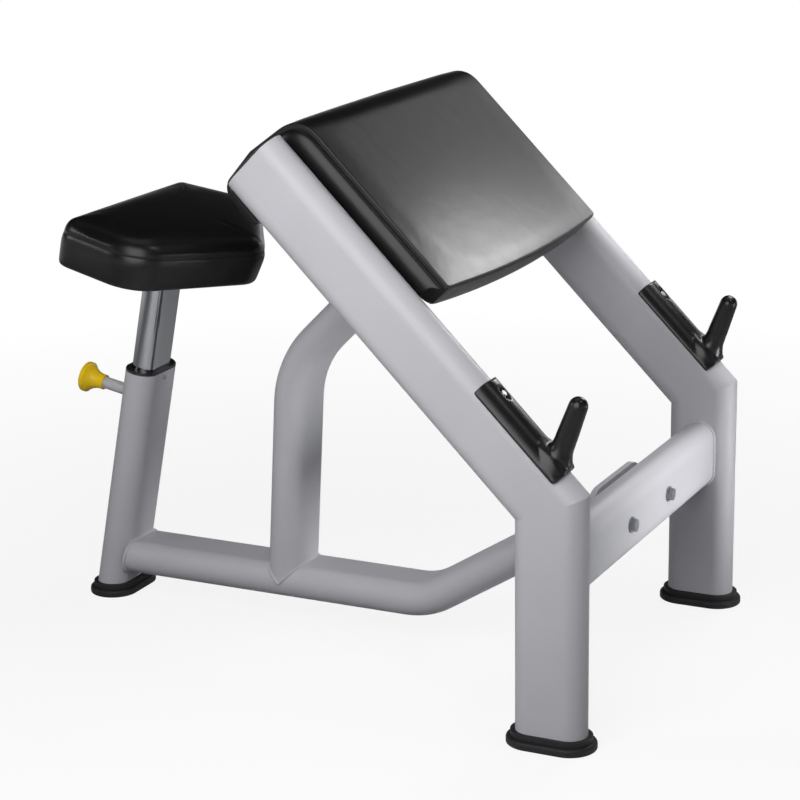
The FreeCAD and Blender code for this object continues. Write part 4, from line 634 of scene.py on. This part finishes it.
class BENCH_OT_welds(bpy.types.Operator):
    """Lay weld beads round the joints of the tubes"""
    bl_idname = "bench.welds"
    bl_label = "Weld beads"

    def execute(self, context):
        z = context.scene.bench_sizes
        flat = z.tube_half - z.tube_radius
        paths = []

        def on_spine(x, y):
            inner = max(0.0, abs(x) - flat)
            height = z.spine_z + math.sqrt(max(0.0, z.tube_radius ** 2 - inner ** 2))
            return Vector((x, z.upright_y + y - (height - z.spine_z) * math.tan(z.upright_lean), height))

        paths.append(oval_path(on_spine, flat, z.tube_radius))

        def on_post(x, up):
            height = z.spine_z + up
            back = -z.tube_radius
            along = (height - z.post_z - back * math.sin(z.post_lean)) / math.cos(z.post_lean)
            return post_point(x, along, back)

        paths.append(oval_path(on_post, flat, z.tube_radius))

        def on_flange(x, up):
            y = z.knee_y + z.tube_radius + z.flange_thick
            height = z.beam_z - z.flange_thick * math.tan(z.spine_rise) + up / math.cos(z.spine_rise)
            return Vector((x, y, height))

        paths.append(oval_path(on_flange, flat, z.tube_radius))
        inner = z.side_x - z.tube_radius
        for side in (-1, 1):
            paths.append(oval_path(
                lambda up, y: Vector((side * inner, z.knee_y + y, z.beam_z + up)), flat, z.tube_radius))
            paths.append(oval_path(
                lambda s, n: rail_point(side * inner, z.cross_s + s, z.cross_n + n), flat, z.tube_radius))
        paths.append(oval_path(
            lambda x, s: rail_point(x, z.cross_s + s, z.cross_n - z.tube_radius), flat, z.tube_radius))
        paths.append(oval_path(lambda x, t: post_point(x, z.pin_t + t, z.tube_radius), 0.0, z.pin_weld))
        welds = beads_along(
            "weld_beads", paths, "frame_paint", z.weld_pitch, 2.4 * z.weld_pitch, z.weld_radius)
        settle(welds, "frame", "frame_paint")
        plate = [oval_path(lambda x, v: post_point(x, z.plate_t, v), z.inner_flat, z.inner_radius)]
        plate_weld = beads_along(
            "seat_plate_weld", plate, "chrome", z.weld_pitch, 2.2 * z.weld_pitch, z.plate_weld)
        settle(plate_weld, "seat", "chrome")
        return {"FINISHED"}


class BENCH_OT_metal(bpy.types.Operator):
    """Finish the chromed post, the plated fasteners and the plywood boards"""
    bl_idname = "bench.metal"
    bl_label = "Chrome, fasteners and boards"

    def execute(self, context):
        dress("seat_post", "flange_bolts", "flange_washers", "flange_nuts", "beam_spacers", "pad_bolts",
              "pad_tnuts", "seat_bolts", "seat_tnuts", "rest_screws", "rest_nuts", "bushing_screw",
              "plunger", "pin_spring", "arm_board", "chest_board", "seat_board")
        return {"FINISHED"}


class BENCH_OT_plastics(bpy.types.Operator):
    """Finish the feet, caps, bushing, glide and knob"""
    bl_idname = "bench.plastics"
    bl_label = "Feet, caps and knob"

    def execute(self, context):
        dress("foot_left", "foot_right", "foot_rear", "rail_cap_left", "rail_cap_right",
              "post_bushing", "post_glide", "knob")
        return {"FINISHED"}


# Rings of the horn's flare, points in each ring, and passes that smooth the moulded skin.
FLARE_RINGS = 9
FLARE_POINTS = 32
REST_PASSES = 14


class BENCH_OT_rests(bpy.types.Operator):
    """Mould the two bar rests with soft transitions"""
    bl_idname = "bench.rests"
    bl_label = "Bar rests"

    def execute(self, context):
        z = context.scene.bench_sizes
        foot = Vector((z.horn_s, z.horn_n))
        axis = Vector((math.sin(z.horn_lean), math.cos(z.horn_lean)))
        square = Vector((axis.y, -axis.x))
        arc_n = z.tube_half - z.tube_radius

        def flare(middle):
            """Rings of a curved cone that leads from the saddle into the horn."""
            rings = []
            for step in range(FLARE_RINGS):
                ring = []
                height = step / (FLARE_RINGS - 1)
                for part in range(FLARE_POINTS):
                    turn = math.tau * part / FLARE_POINTS
                    # The flare is widest on the side that looks up the rail and small on the lower side.
                    wide = (1 - height) ** 2 * (0.55 + 0.45 * math.cos(turn))
                    radius = z.horn_neck + z.horn_flare * wide
                    spot = foot + axis * (z.flare_low + z.flare_long * height)
                    spot += square * radius * math.cos(turn)
                    ring.append(rail_point(middle + radius * math.sin(turn), spot.x, spot.y))
                rings.append(ring)
            return rings

        def hug(mesh, middle):
            """Bring the saddle down to a round shell on the rail and leave the horn."""
            for vertex in mesh.vertices:
                across, along, up = rail_place(vertex.co)
                across, up = across - middle, up - arc_n
                reach = math.hypot(across, up)
                if up < 0 or reach < z.rest_round:
                    continue
                off = math.hypot((Vector((along, up + arc_n)) - foot).dot(square), across)
                share = max(0.0, min(1.0, (off - z.horn_clear) / z.horn_blend))
                scale = 1 + share * (z.rest_round / reach - 1)
                vertex.co = rail_point(middle + across * scale, along, arc_n + up * scale)

        for side, sign in (("left", -1), ("right", 1)):
            node = f"rest_{side}"
            middle = sign * z.side_x
            shape = bmesh.new()
            shape.from_mesh(frame["nodes"][node].data)
            bmesh.ops.remove_doubles(shape, verts=shape.verts, dist=0.02 * MM)
            bridge(shape, flare(middle), True)
            bmesh.ops.recalc_face_normals(shape, faces=shape.faces)
            mesh = bpy.data.meshes.new(f"bar_rest_{side}")
            shape.to_mesh(mesh)
            shape.free()
            rest = new_object(f"bar_rest_{side}", mesh, "moulded_black")
            remesh = rest.modifiers.new("skin", "REMESH")
            remesh.mode = "VOXEL"
            remesh.voxel_size = z.rest_voxel
            baked(rest)
            hug(rest.data, middle)
            relax = rest.modifiers.new("flow", "SMOOTH")
            relax.factor = 0.5
            relax.iterations = REST_PASSES
            baked(rest)
            rest.data.materials.clear()
            rest.data.materials.append(finish("moulded_black"))
            smooth(rest.data)
            settle(rest, "frame", "moulded_black", node)
        return {"FINISHED"}


# Side roll and seam of the arm pad: millimetres in from its end, and millimetres the section is drawn in.
PAD_EDGE = (
    (-3, 34), (-2.3, 27), (-1.3, 21.4), (0.2, 16.6), (2, 12.9), (4, 10.2), (6, 8.7), (7.5, 8.2),
    (8.2, 8.6), (8.6, 9.8), (8.9, 11.4), (9.1, 12.4), (9.3, 11.4), (9.5, 7.2), (9.7, 3), (9.9, 1),
    (10.3, 0.25), (11.6, 0.05), (20, 0), (28, -0.2), (44, -0.5), (60, -0.7),
)
# The seam's place in that list.
PAD_SEAM = 9.1
# Line through the middle of the pad's section: millimetres along the rail and out of it.
PAD_CORE = ((408, 49), (686, 49), (686, -60))
# How far each ring of a closed end goes toward that line.
PAD_CLOSING = (0.07, 0.2, 0.42, 0.7)


class BENCH_OT_arm_pad(bpy.types.Operator):
    """Sew and stuff the wrap-over arm pad"""
    bl_idname = "bench.arm_pad"
    bl_label = "Arm pad"

    def execute(self, context):
        z = context.scene.bench_sizes
        runs = (6, 30, 7, 6, 6, 12, 24)
        arc_steps = 5
        steps = 14
        last = PAD_EDGE[-1][0]
        middle = z.pad_half / MM - last
        edge = list(PAD_EDGE)
        edge += [(last + middle * step / steps, PAD_EDGE[-1][1]) for step in range(1, steps)]
        places = [(offset * MM - z.pad_half, draw * MM) for offset, draw in edge]
        places += [(0.0, PAD_EDGE[-1][1] * MM)] + [(-x, draw) for x, draw in reversed(places)]

        def outline(x, draw):
            """Section of the pad at a place, drawn in everywhere but on the boards."""
            share = x / z.pad_half
            crown = z.pad_crown * (1 - share * share)
            corner = max(0.0, abs(x) - z.pad_half + z.pad_corner)
            turn = z.pad_corner - math.sqrt(max(0.0, z.pad_corner ** 2 - corner ** 2))
            low = z.pad_low + z.pad_sweep * share * share + 0.1 * draw + turn
            top = z.pad_top + crown - draw
            out = crown / 2 - draw

            def tight(radius):
                return max(radius - draw, z.pad_least_round)

            return rounded_loop([
                (low, z.pad_base, z.pad_edge_round),
                (low, top, tight(z.pad_edge_round)),
                (z.pad_end + out, top, tight(z.pad_top_round)),
                (z.pad_nose + out, z.pad_nose_drop, tight(z.pad_nose_round)),
                (z.pad_tail + out, z.pad_tail_drop + max(draw, 0), tight(z.pad_nose_round)),
                (z.chest_face, z.pad_tail_drop + max(draw, 0), z.pad_edge_round),
                (z.chest_face, z.pad_base, z.pad_inner_round),
            ], runs, arc_steps)

        count = len(outline(*places[0]))
        covered = sum(runs[5:]) - 2 + arc_steps + 1
        boarded = {0} | set(range(count - covered, count))
        crisp = range(arc_steps + runs[0], 2 * arc_steps + runs[0] + 1)

        rings = [[rail_point(x, point.x, point.y) for point in outline(x, draw)] for x, draw in places]
        line = [Vector((along * MM, up * MM)) for along, up in PAD_CORE]

        def toward_line(point, share):
            """A point moved a share of its way to the nearest place on the line."""
            spots = []
            for a, b in zip(line, line[1:]):
                along = (point - a).dot(b - a) / (b - a).length_squared
                spots.append(a.lerp(b, max(0.0, min(1.0, along))))
            return point.lerp(min(spots, key=lambda spot: (spot - point).length), share)

        def end_rings(x, draw):
            """Rings that close one end of the pad toward the line through the middle of its section."""
            found = []
            for share in PAD_CLOSING:
                spots = [toward_line(point, share) for point in outline(x, draw)]
                found.append([rail_point(x, spot.x, spot.y) for spot in spots])
            return found

        left = list(reversed(end_rings(*places[0])))
        shape = bmesh.new()
        made = bridge(shape, left + rings + end_rings(*places[-1]), True)
        caps = [face for face in shape.faces if len(face.verts) > 4]
        bmesh.ops.triangulate(shape, faces=caps)
        bmesh.ops.recalc_face_normals(shape, faces=shape.faces)
        shape.verts.index_update()
        held = []
        for (x, draw), ring in zip(places, made[len(left):]):
            sewn = z.pad_half - abs(x) < z.pad_sewn
            for index, vertex in enumerate(ring):
                if sewn or index in boarded or index in crisp:
                    held.append(vertex.index)
        mesh = bpy.data.meshes.new("arm_pad_cushion")
        shape.to_mesh(mesh)
        shape.free()
        pad = new_object("arm_pad_cushion", mesh, "black_vinyl")
        stuffed(pad, held, z.pad_swell)
        seams = []
        for row, (x, draw) in enumerate(places):
            if abs(z.pad_half - abs(x) - PAD_SEAM * MM) < 0.1 * MM:
                seams.append(row + len(left))
        shown = range(arc_steps + 1, count - covered - arc_steps)
        paths = [[pad.data.vertices[row * count + index].co.copy() for index in shown] for row in seams]
        rounder = pad.modifiers.new("skin", "SUBSURF")
        rounder.levels = rounder.render_levels = 1
        baked(pad)
        smooth(pad.data)
        settle(pad, "frame", "black_vinyl", "arm_pad")
        stitches = beads_along(
            "arm_pad_stitches", paths, "thread", z.stitch_pitch, z.stitch_long, z.stitch_thick)
        settle(stitches, "frame", "black_vinyl")
        return {"FINISHED"}


# Rings of the seat: height and inset in millimetres, and the share of the ring's reach that is kept.
SEAT_LEVELS = (
    (-0.4, 26, 0.25), (-0.4, 26, 0.6), (-0.4, 26, 1), (-0.3, 13, 1), (0.3, 7, 1), (1.8, 3, 1), (4.5, 0.9, 1),
    (9, 0, 1), (20, 0, 1), (32, 0, 1), (41, 0, 1), (46, 0.3, 1), (50, 0.8, 1), (53.2, 1.4, 1), (55.8, 2.1, 1),
    (57.8, 2.8, 1), (59.4, 3.5, 1), (61, 3.5, 1), (63, 3.6, 1), (66, 4.2, 1), (70.5, 5.4, 1), (76, 7.8, 1),
    (81, 11.2, 1), (84.6, 15.6, 1), (87.6, 21, 1), (89.6, 26.5, 1), (91, 28, 0.94), (92.4, 28, 0.84),
    (93.8, 28, 0.7), (94.8, 28, 0.54), (95.4, 28, 0.36), (95.7, 28, 0.16),
)
# Height of the seam, the height held by the board, and how near the seam holds the vinyl, in millimetres.
SEAT_SEAM = 59.4
SEAT_BOARDED = 5
SEAT_SEWN = 4


class BENCH_OT_seat(bpy.types.Operator):
    """Sew and stuff the shield-shaped seat"""
    bl_idname = "bench.seat"
    bl_label = "Seat"

    def execute(self, context):
        z = context.scene.bench_sizes
        outline = rounded_loop([
            (z.seat_rear_x, z.seat_rear_v, z.seat_rear_round),
            (z.seat_side_x, z.seat_side_v, z.seat_side_round),
            (0.0, z.seat_nose_v, z.seat_nose_round),
            (-z.seat_side_x, z.seat_side_v, z.seat_side_round),
            (-z.seat_rear_x, z.seat_rear_v, z.seat_rear_round),
        ], (9, 16, 16, 9, 26), 8)
        normals = outward(outline)
        middle = Vector((0.0, (z.seat_rear_v + z.seat_nose_v) / 2 + z.seat_middle))
        rings = []
        for height, inset, share in SEAT_LEVELS:
            low = max(0.0, 1 - height * MM / z.seat_draw_high)
            circular = min(1.0, 2 * (1 - share))
            ring = []
            for point, normal in zip(outline, normals):
                spot = point - normal * inset * MM
                ray = spot - middle
                spot = middle + ray.lerp(ray.normalized() * z.seat_crown, circular) * share
                front = max(0.0, (z.seat_side_v - spot.y) / (z.seat_side_v - z.seat_nose_v))
                back = spot.y + front * low * z.seat_nose_draw
                ring.append(post_point(spot.x, z.seat_base + height * MM, back))
            rings.append(ring)
        shape = bmesh.new()
        made = bridge(shape, rings, True)
        bmesh.ops.recalc_face_normals(shape, faces=shape.faces)
        shape.verts.index_update()
        held = []
        for (height, inset, share), ring in zip(SEAT_LEVELS, made):
            if height < SEAT_BOARDED or abs(height - SEAT_SEAM) < SEAT_SEWN:
                held += [vertex.index for vertex in ring]
        mesh = bpy.data.meshes.new("seat_pad")
        shape.to_mesh(mesh)
        shape.free()
        seat = new_object("seat_pad", mesh, "black_vinyl")
        stuffed(seat, held, z.seat_swell)
        count = len(outline)
        row = [level[0] for level in SEAT_LEVELS].index(SEAT_SEAM)
        path = [seat.data.vertices[row * count + index].co.copy() for index in range(count)]
        rounder = seat.modifiers.new("skin", "SUBSURF")
        rounder.levels = rounder.render_levels = 1
        baked(seat)
        smooth(seat.data)
        settle(seat, "seat", "black_vinyl", "seat_cushion")
        stitches = beads_along(
            "seat_stitches", [path + path[:1]], "thread", z.stitch_pitch, z.stitch_long, z.stitch_thick)
        settle(stitches, "seat", "black_vinyl")
        return {"FINISHED"}


# Soft boxes in metres: name, place, aim, width and height, spread in degrees, power in watts.
LAMPS = (
    ("key_box", (-1.6, -0.35, 1.25), (-0.39, -0.15, 0.75), (1.4, 1.2), 180, 22),
    ("front_box", (-0.6, -3.2, 1.7), (0.0, -0.4, 0.4), (1.8, 1.2), 180, 2.5),
    ("beam_box", (0.35, -1.5, 0.28), (0.1, -0.53, 0.29), (0.4, 0.3), 50, 1.1),
    ("roll_box", (-0.3, -1.9, 2.9), (-0.3, -0.25, 0.75), (0.4, 0.4), 180, 7),
    ("top_box", (0.1, 0.1, 3.4), (0.0, 0.0, 0.5), (2.0, 2.0), 180, 8),
    ("panel_box", (0.66, -0.62, 1.12), (-0.1, -0.28, 0.72), (0.3, 0.3), 180, 3.2),
    ("right_box", (1.5, -0.45, 1.6), (0.0, -0.2, 0.8), (0.9, 0.9), 180, 2.3),
    ("rest_box", (2.04, -0.56, 1.09), (0.0, -0.44, 0.54), (0.5, 0.4), 180, 2.5),
    ("rear_box", (-1.3, 1.9, 1.45), (-0.1, 0.45, 0.6), (0.5, 0.5), 180, 7),
)
# Camera fitted to the photograph: its right and up directions, its place in metres, its lens in millimetres.
CAMERA_SIDE = (0.43169754, -0.90192366, -0.01307426)
CAMERA_UP = (0.24923579, 0.10533922, 0.96269682)
CAMERA_SPOT = (-3.694563, -1.856154, 1.576326)
CAMERA_LENS = 110.517
# Half width of the floor in metres, and its height just under the soles of the feet.
FLOOR_HALF = 30
FLOOR_LOW = -0.4 * MM


def studio_floor():
    # Pale studio floor: white, with only a faint shadow round the feet.
    material = bpy.data.materials.new("studio_floor_pale")
    material.use_nodes = True
    tree = material.node_tree
    tree.nodes.clear()
    ray = add_node(tree, "ShaderNodeLightPath").outputs
    place = add_node(tree, "ShaderNodeTexCoord").outputs["Object"]
    # The camera sees the floor's shading fade to white away from the bench.
    away = add_node(tree, "ShaderNodeVectorMath", {0: place}, operation="LENGTH")
    fade = add_node(tree, "ShaderNodeMapRange", {
        "Value": away.outputs["Value"], "From Min": 0.7, "From Max": 2.4, "To Min": 0.86, "To Max": 1.0})
    lit = add_node(tree, "ShaderNodeBsdfDiffuse", {"Color": colours().floor})
    white = add_node(tree, "ShaderNodeEmission", {"Color": (1, 1, 1, 1), "Strength": 1.0})
    pale = add_node(tree, "ShaderNodeMixShader", {
        0: fade.outputs["Result"], 1: lit.outputs["BSDF"], 2: white.outputs["Emission"]})
    # Other rays see it dimmer, so that little light comes up from below.
    dim = add_node(tree, "ShaderNodeBsdfDiffuse", {"Color": colours().bounce})
    # Reflections see the lit floor, and white far off.
    far = add_node(tree, "ShaderNodeMapRange", {
        "Value": away.outputs["Value"], "From Min": 2.5, "From Max": 6.0})
    mirror = add_node(tree, "ShaderNodeMixShader", {
        0: far.outputs["Result"], 1: lit.outputs["BSDF"], 2: white.outputs["Emission"]})
    mirrored = add_node(tree, "ShaderNodeMixShader", {
        0: ray["Is Glossy Ray"], 1: dim.outputs["BSDF"], 2: mirror.outputs["Shader"]})
    mix = add_node(tree, "ShaderNodeMixShader", {
        0: ray["Is Camera Ray"], 1: mirrored.outputs["Shader"], 2: pale.outputs["Shader"]})
    add_node(tree, "ShaderNodeOutputMaterial", {"Surface": mix.outputs["Shader"]})
    return material


def studio_world():
    """Dim light from all round, white to the camera."""
    world = bpy.data.worlds.new("studio")
    bpy.context.scene.world = world
    world.use_nodes = True
    tree = world.node_tree
    tree.nodes.clear()
    ray = add_node(tree, "ShaderNodeLightPath").outputs
    place = add_node(tree, "ShaderNodeTexCoord").outputs["Generated"]
    height = add_node(tree, "ShaderNodeSeparateXYZ", {"Vector": place}).outputs["Z"]
    # A pale horizon under a dark sky, with a bright edge that only reflections see.
    ramp = add_node(tree, "ShaderNodeValToRGB", {"Fac": height})
    ramp.color_ramp.elements[0].position = 0.0
    ramp.color_ramp.elements[0].color = (0.85, 0.85, 0.87, 1)
    ramp.color_ramp.elements[1].position = 0.3
    ramp.color_ramp.elements[1].color = (0.07, 0.07, 0.075, 1)
    edge = add_node(tree, "ShaderNodeMapRange", {
        "Value": height, "From Min": 0.02, "From Max": 0.14, "To Min": 0.8, "To Max": 0.0})
    mirrored = add_node(tree, "ShaderNodeMath", {
        0: edge.outputs["Result"], 1: ray["Is Glossy Ray"], 2: 0.2}, operation="MULTIPLY_ADD")
    soft = add_node(tree, "ShaderNodeBackground", {
        "Color": ramp.outputs["Color"], "Strength": mirrored.outputs["Value"]})
    # The camera sees plain white.
    clear = add_node(tree, "ShaderNodeBackground", {"Color": (1, 1, 1, 1), "Strength": 1.0})
    mix = add_node(tree, "ShaderNodeMixShader", {
        0: ray["Is Camera Ray"], 1: soft.outputs["Background"], 2: clear.outputs["Background"]})
    add_node(tree, "ShaderNodeOutputWorld", {"Surface": mix.outputs["Shader"]})


class BENCH_OT_stage(bpy.types.Operator):
    """Set the pale floor, the soft lights and the camera"""
    bl_idname = "bench.stage"
    bl_label = "Studio"

    def execute(self, context):
        scene = context.scene
        scene.view_settings.view_transform = "Standard"
        mesh = bpy.data.meshes.new("floor")
        square = [(-1, -1), (1, -1), (1, 1), (-1, 1)]
        corners = [(x * FLOOR_HALF, y * FLOOR_HALF, FLOOR_LOW) for x, y in square]
        mesh.from_pydata(corners, [], [(0, 1, 2, 3)])
        floor = bpy.data.objects.new("floor", mesh)
        scene.collection.objects.link(floor)
        mesh.materials.append(studio_floor())
        studio_world()

        for name, spot, aim, shape, spread, power in LAMPS:
            light = bpy.data.lights.new(name, "AREA")
            light.shape = "RECTANGLE"
            light.size, light.size_y = shape
            light.spread = math.radians(spread)
            light.energy = power
            lamp = bpy.data.objects.new(name, light)
            lamp.location = spot
            lamp.visible_camera = False
            lamp.rotation_euler = (Vector(aim) - Vector(spot)).to_track_quat("-Z", "Y").to_euler()
            scene.collection.objects.link(lamp)

        lens = bpy.data.cameras.new("photo_camera")
        lens.sensor_width = 36
        lens.lens = CAMERA_LENS
        camera = bpy.data.objects.new("photo_camera", lens)
        side = Vector(CAMERA_SIDE)
        up = Vector(CAMERA_UP)
        turn = Matrix((side, up, side.cross(up))).transposed()
        camera.matrix_world = Matrix.Translation(CAMERA_SPOT) @ turn.to_4x4()
        scene.collection.objects.link(camera)
        scene.camera = camera
        return {"FINISHED"}


class BENCH_PT_panel(bpy.types.Panel):
    """Lists the steps that dress the bench"""
    bl_idname = "BENCH_PT_panel"
    bl_label = "Preacher curl bench"
    bl_space_type = "VIEW_3D"
    bl_region_type = "UI"
    bl_category = "Bench"

    def draw(self, context):
        for operator in STEPS:
            self.layout.operator(operator.bl_idname)


STEPS = (BENCH_OT_stage, BENCH_OT_frame, BENCH_OT_welds, BENCH_OT_metal, BENCH_OT_plastics, BENCH_OT_rests,
         BENCH_OT_arm_pad, BENCH_OT_seat)
CLASSES = (BenchSizes, BenchColours, *STEPS, BENCH_PT_panel)


def register():
    for item in CLASSES:
        bpy.utils.register_class(item)
    bpy.types.Scene.bench_sizes = bpy.props.PointerProperty(type=BenchSizes)
    bpy.types.Scene.bench_colours = bpy.props.PointerProperty(type=BenchColours)


def unregister():
    del bpy.types.Scene.bench_colours
    del bpy.types.Scene.bench_sizes
    for item in reversed(CLASSES):
        bpy.utils.unregister_class(item)


def main():
    register()
    bpy.ops.bench.stage()
    bpy.ops.bench.frame()
    bpy.ops.bench.welds()
    bpy.ops.bench.metal()
    bpy.ops.bench.plastics()
    bpy.ops.bench.rests()
    bpy.ops.bench.arm_pad()
    bpy.ops.bench.seat()


if __name__ == "__main__":
    main()
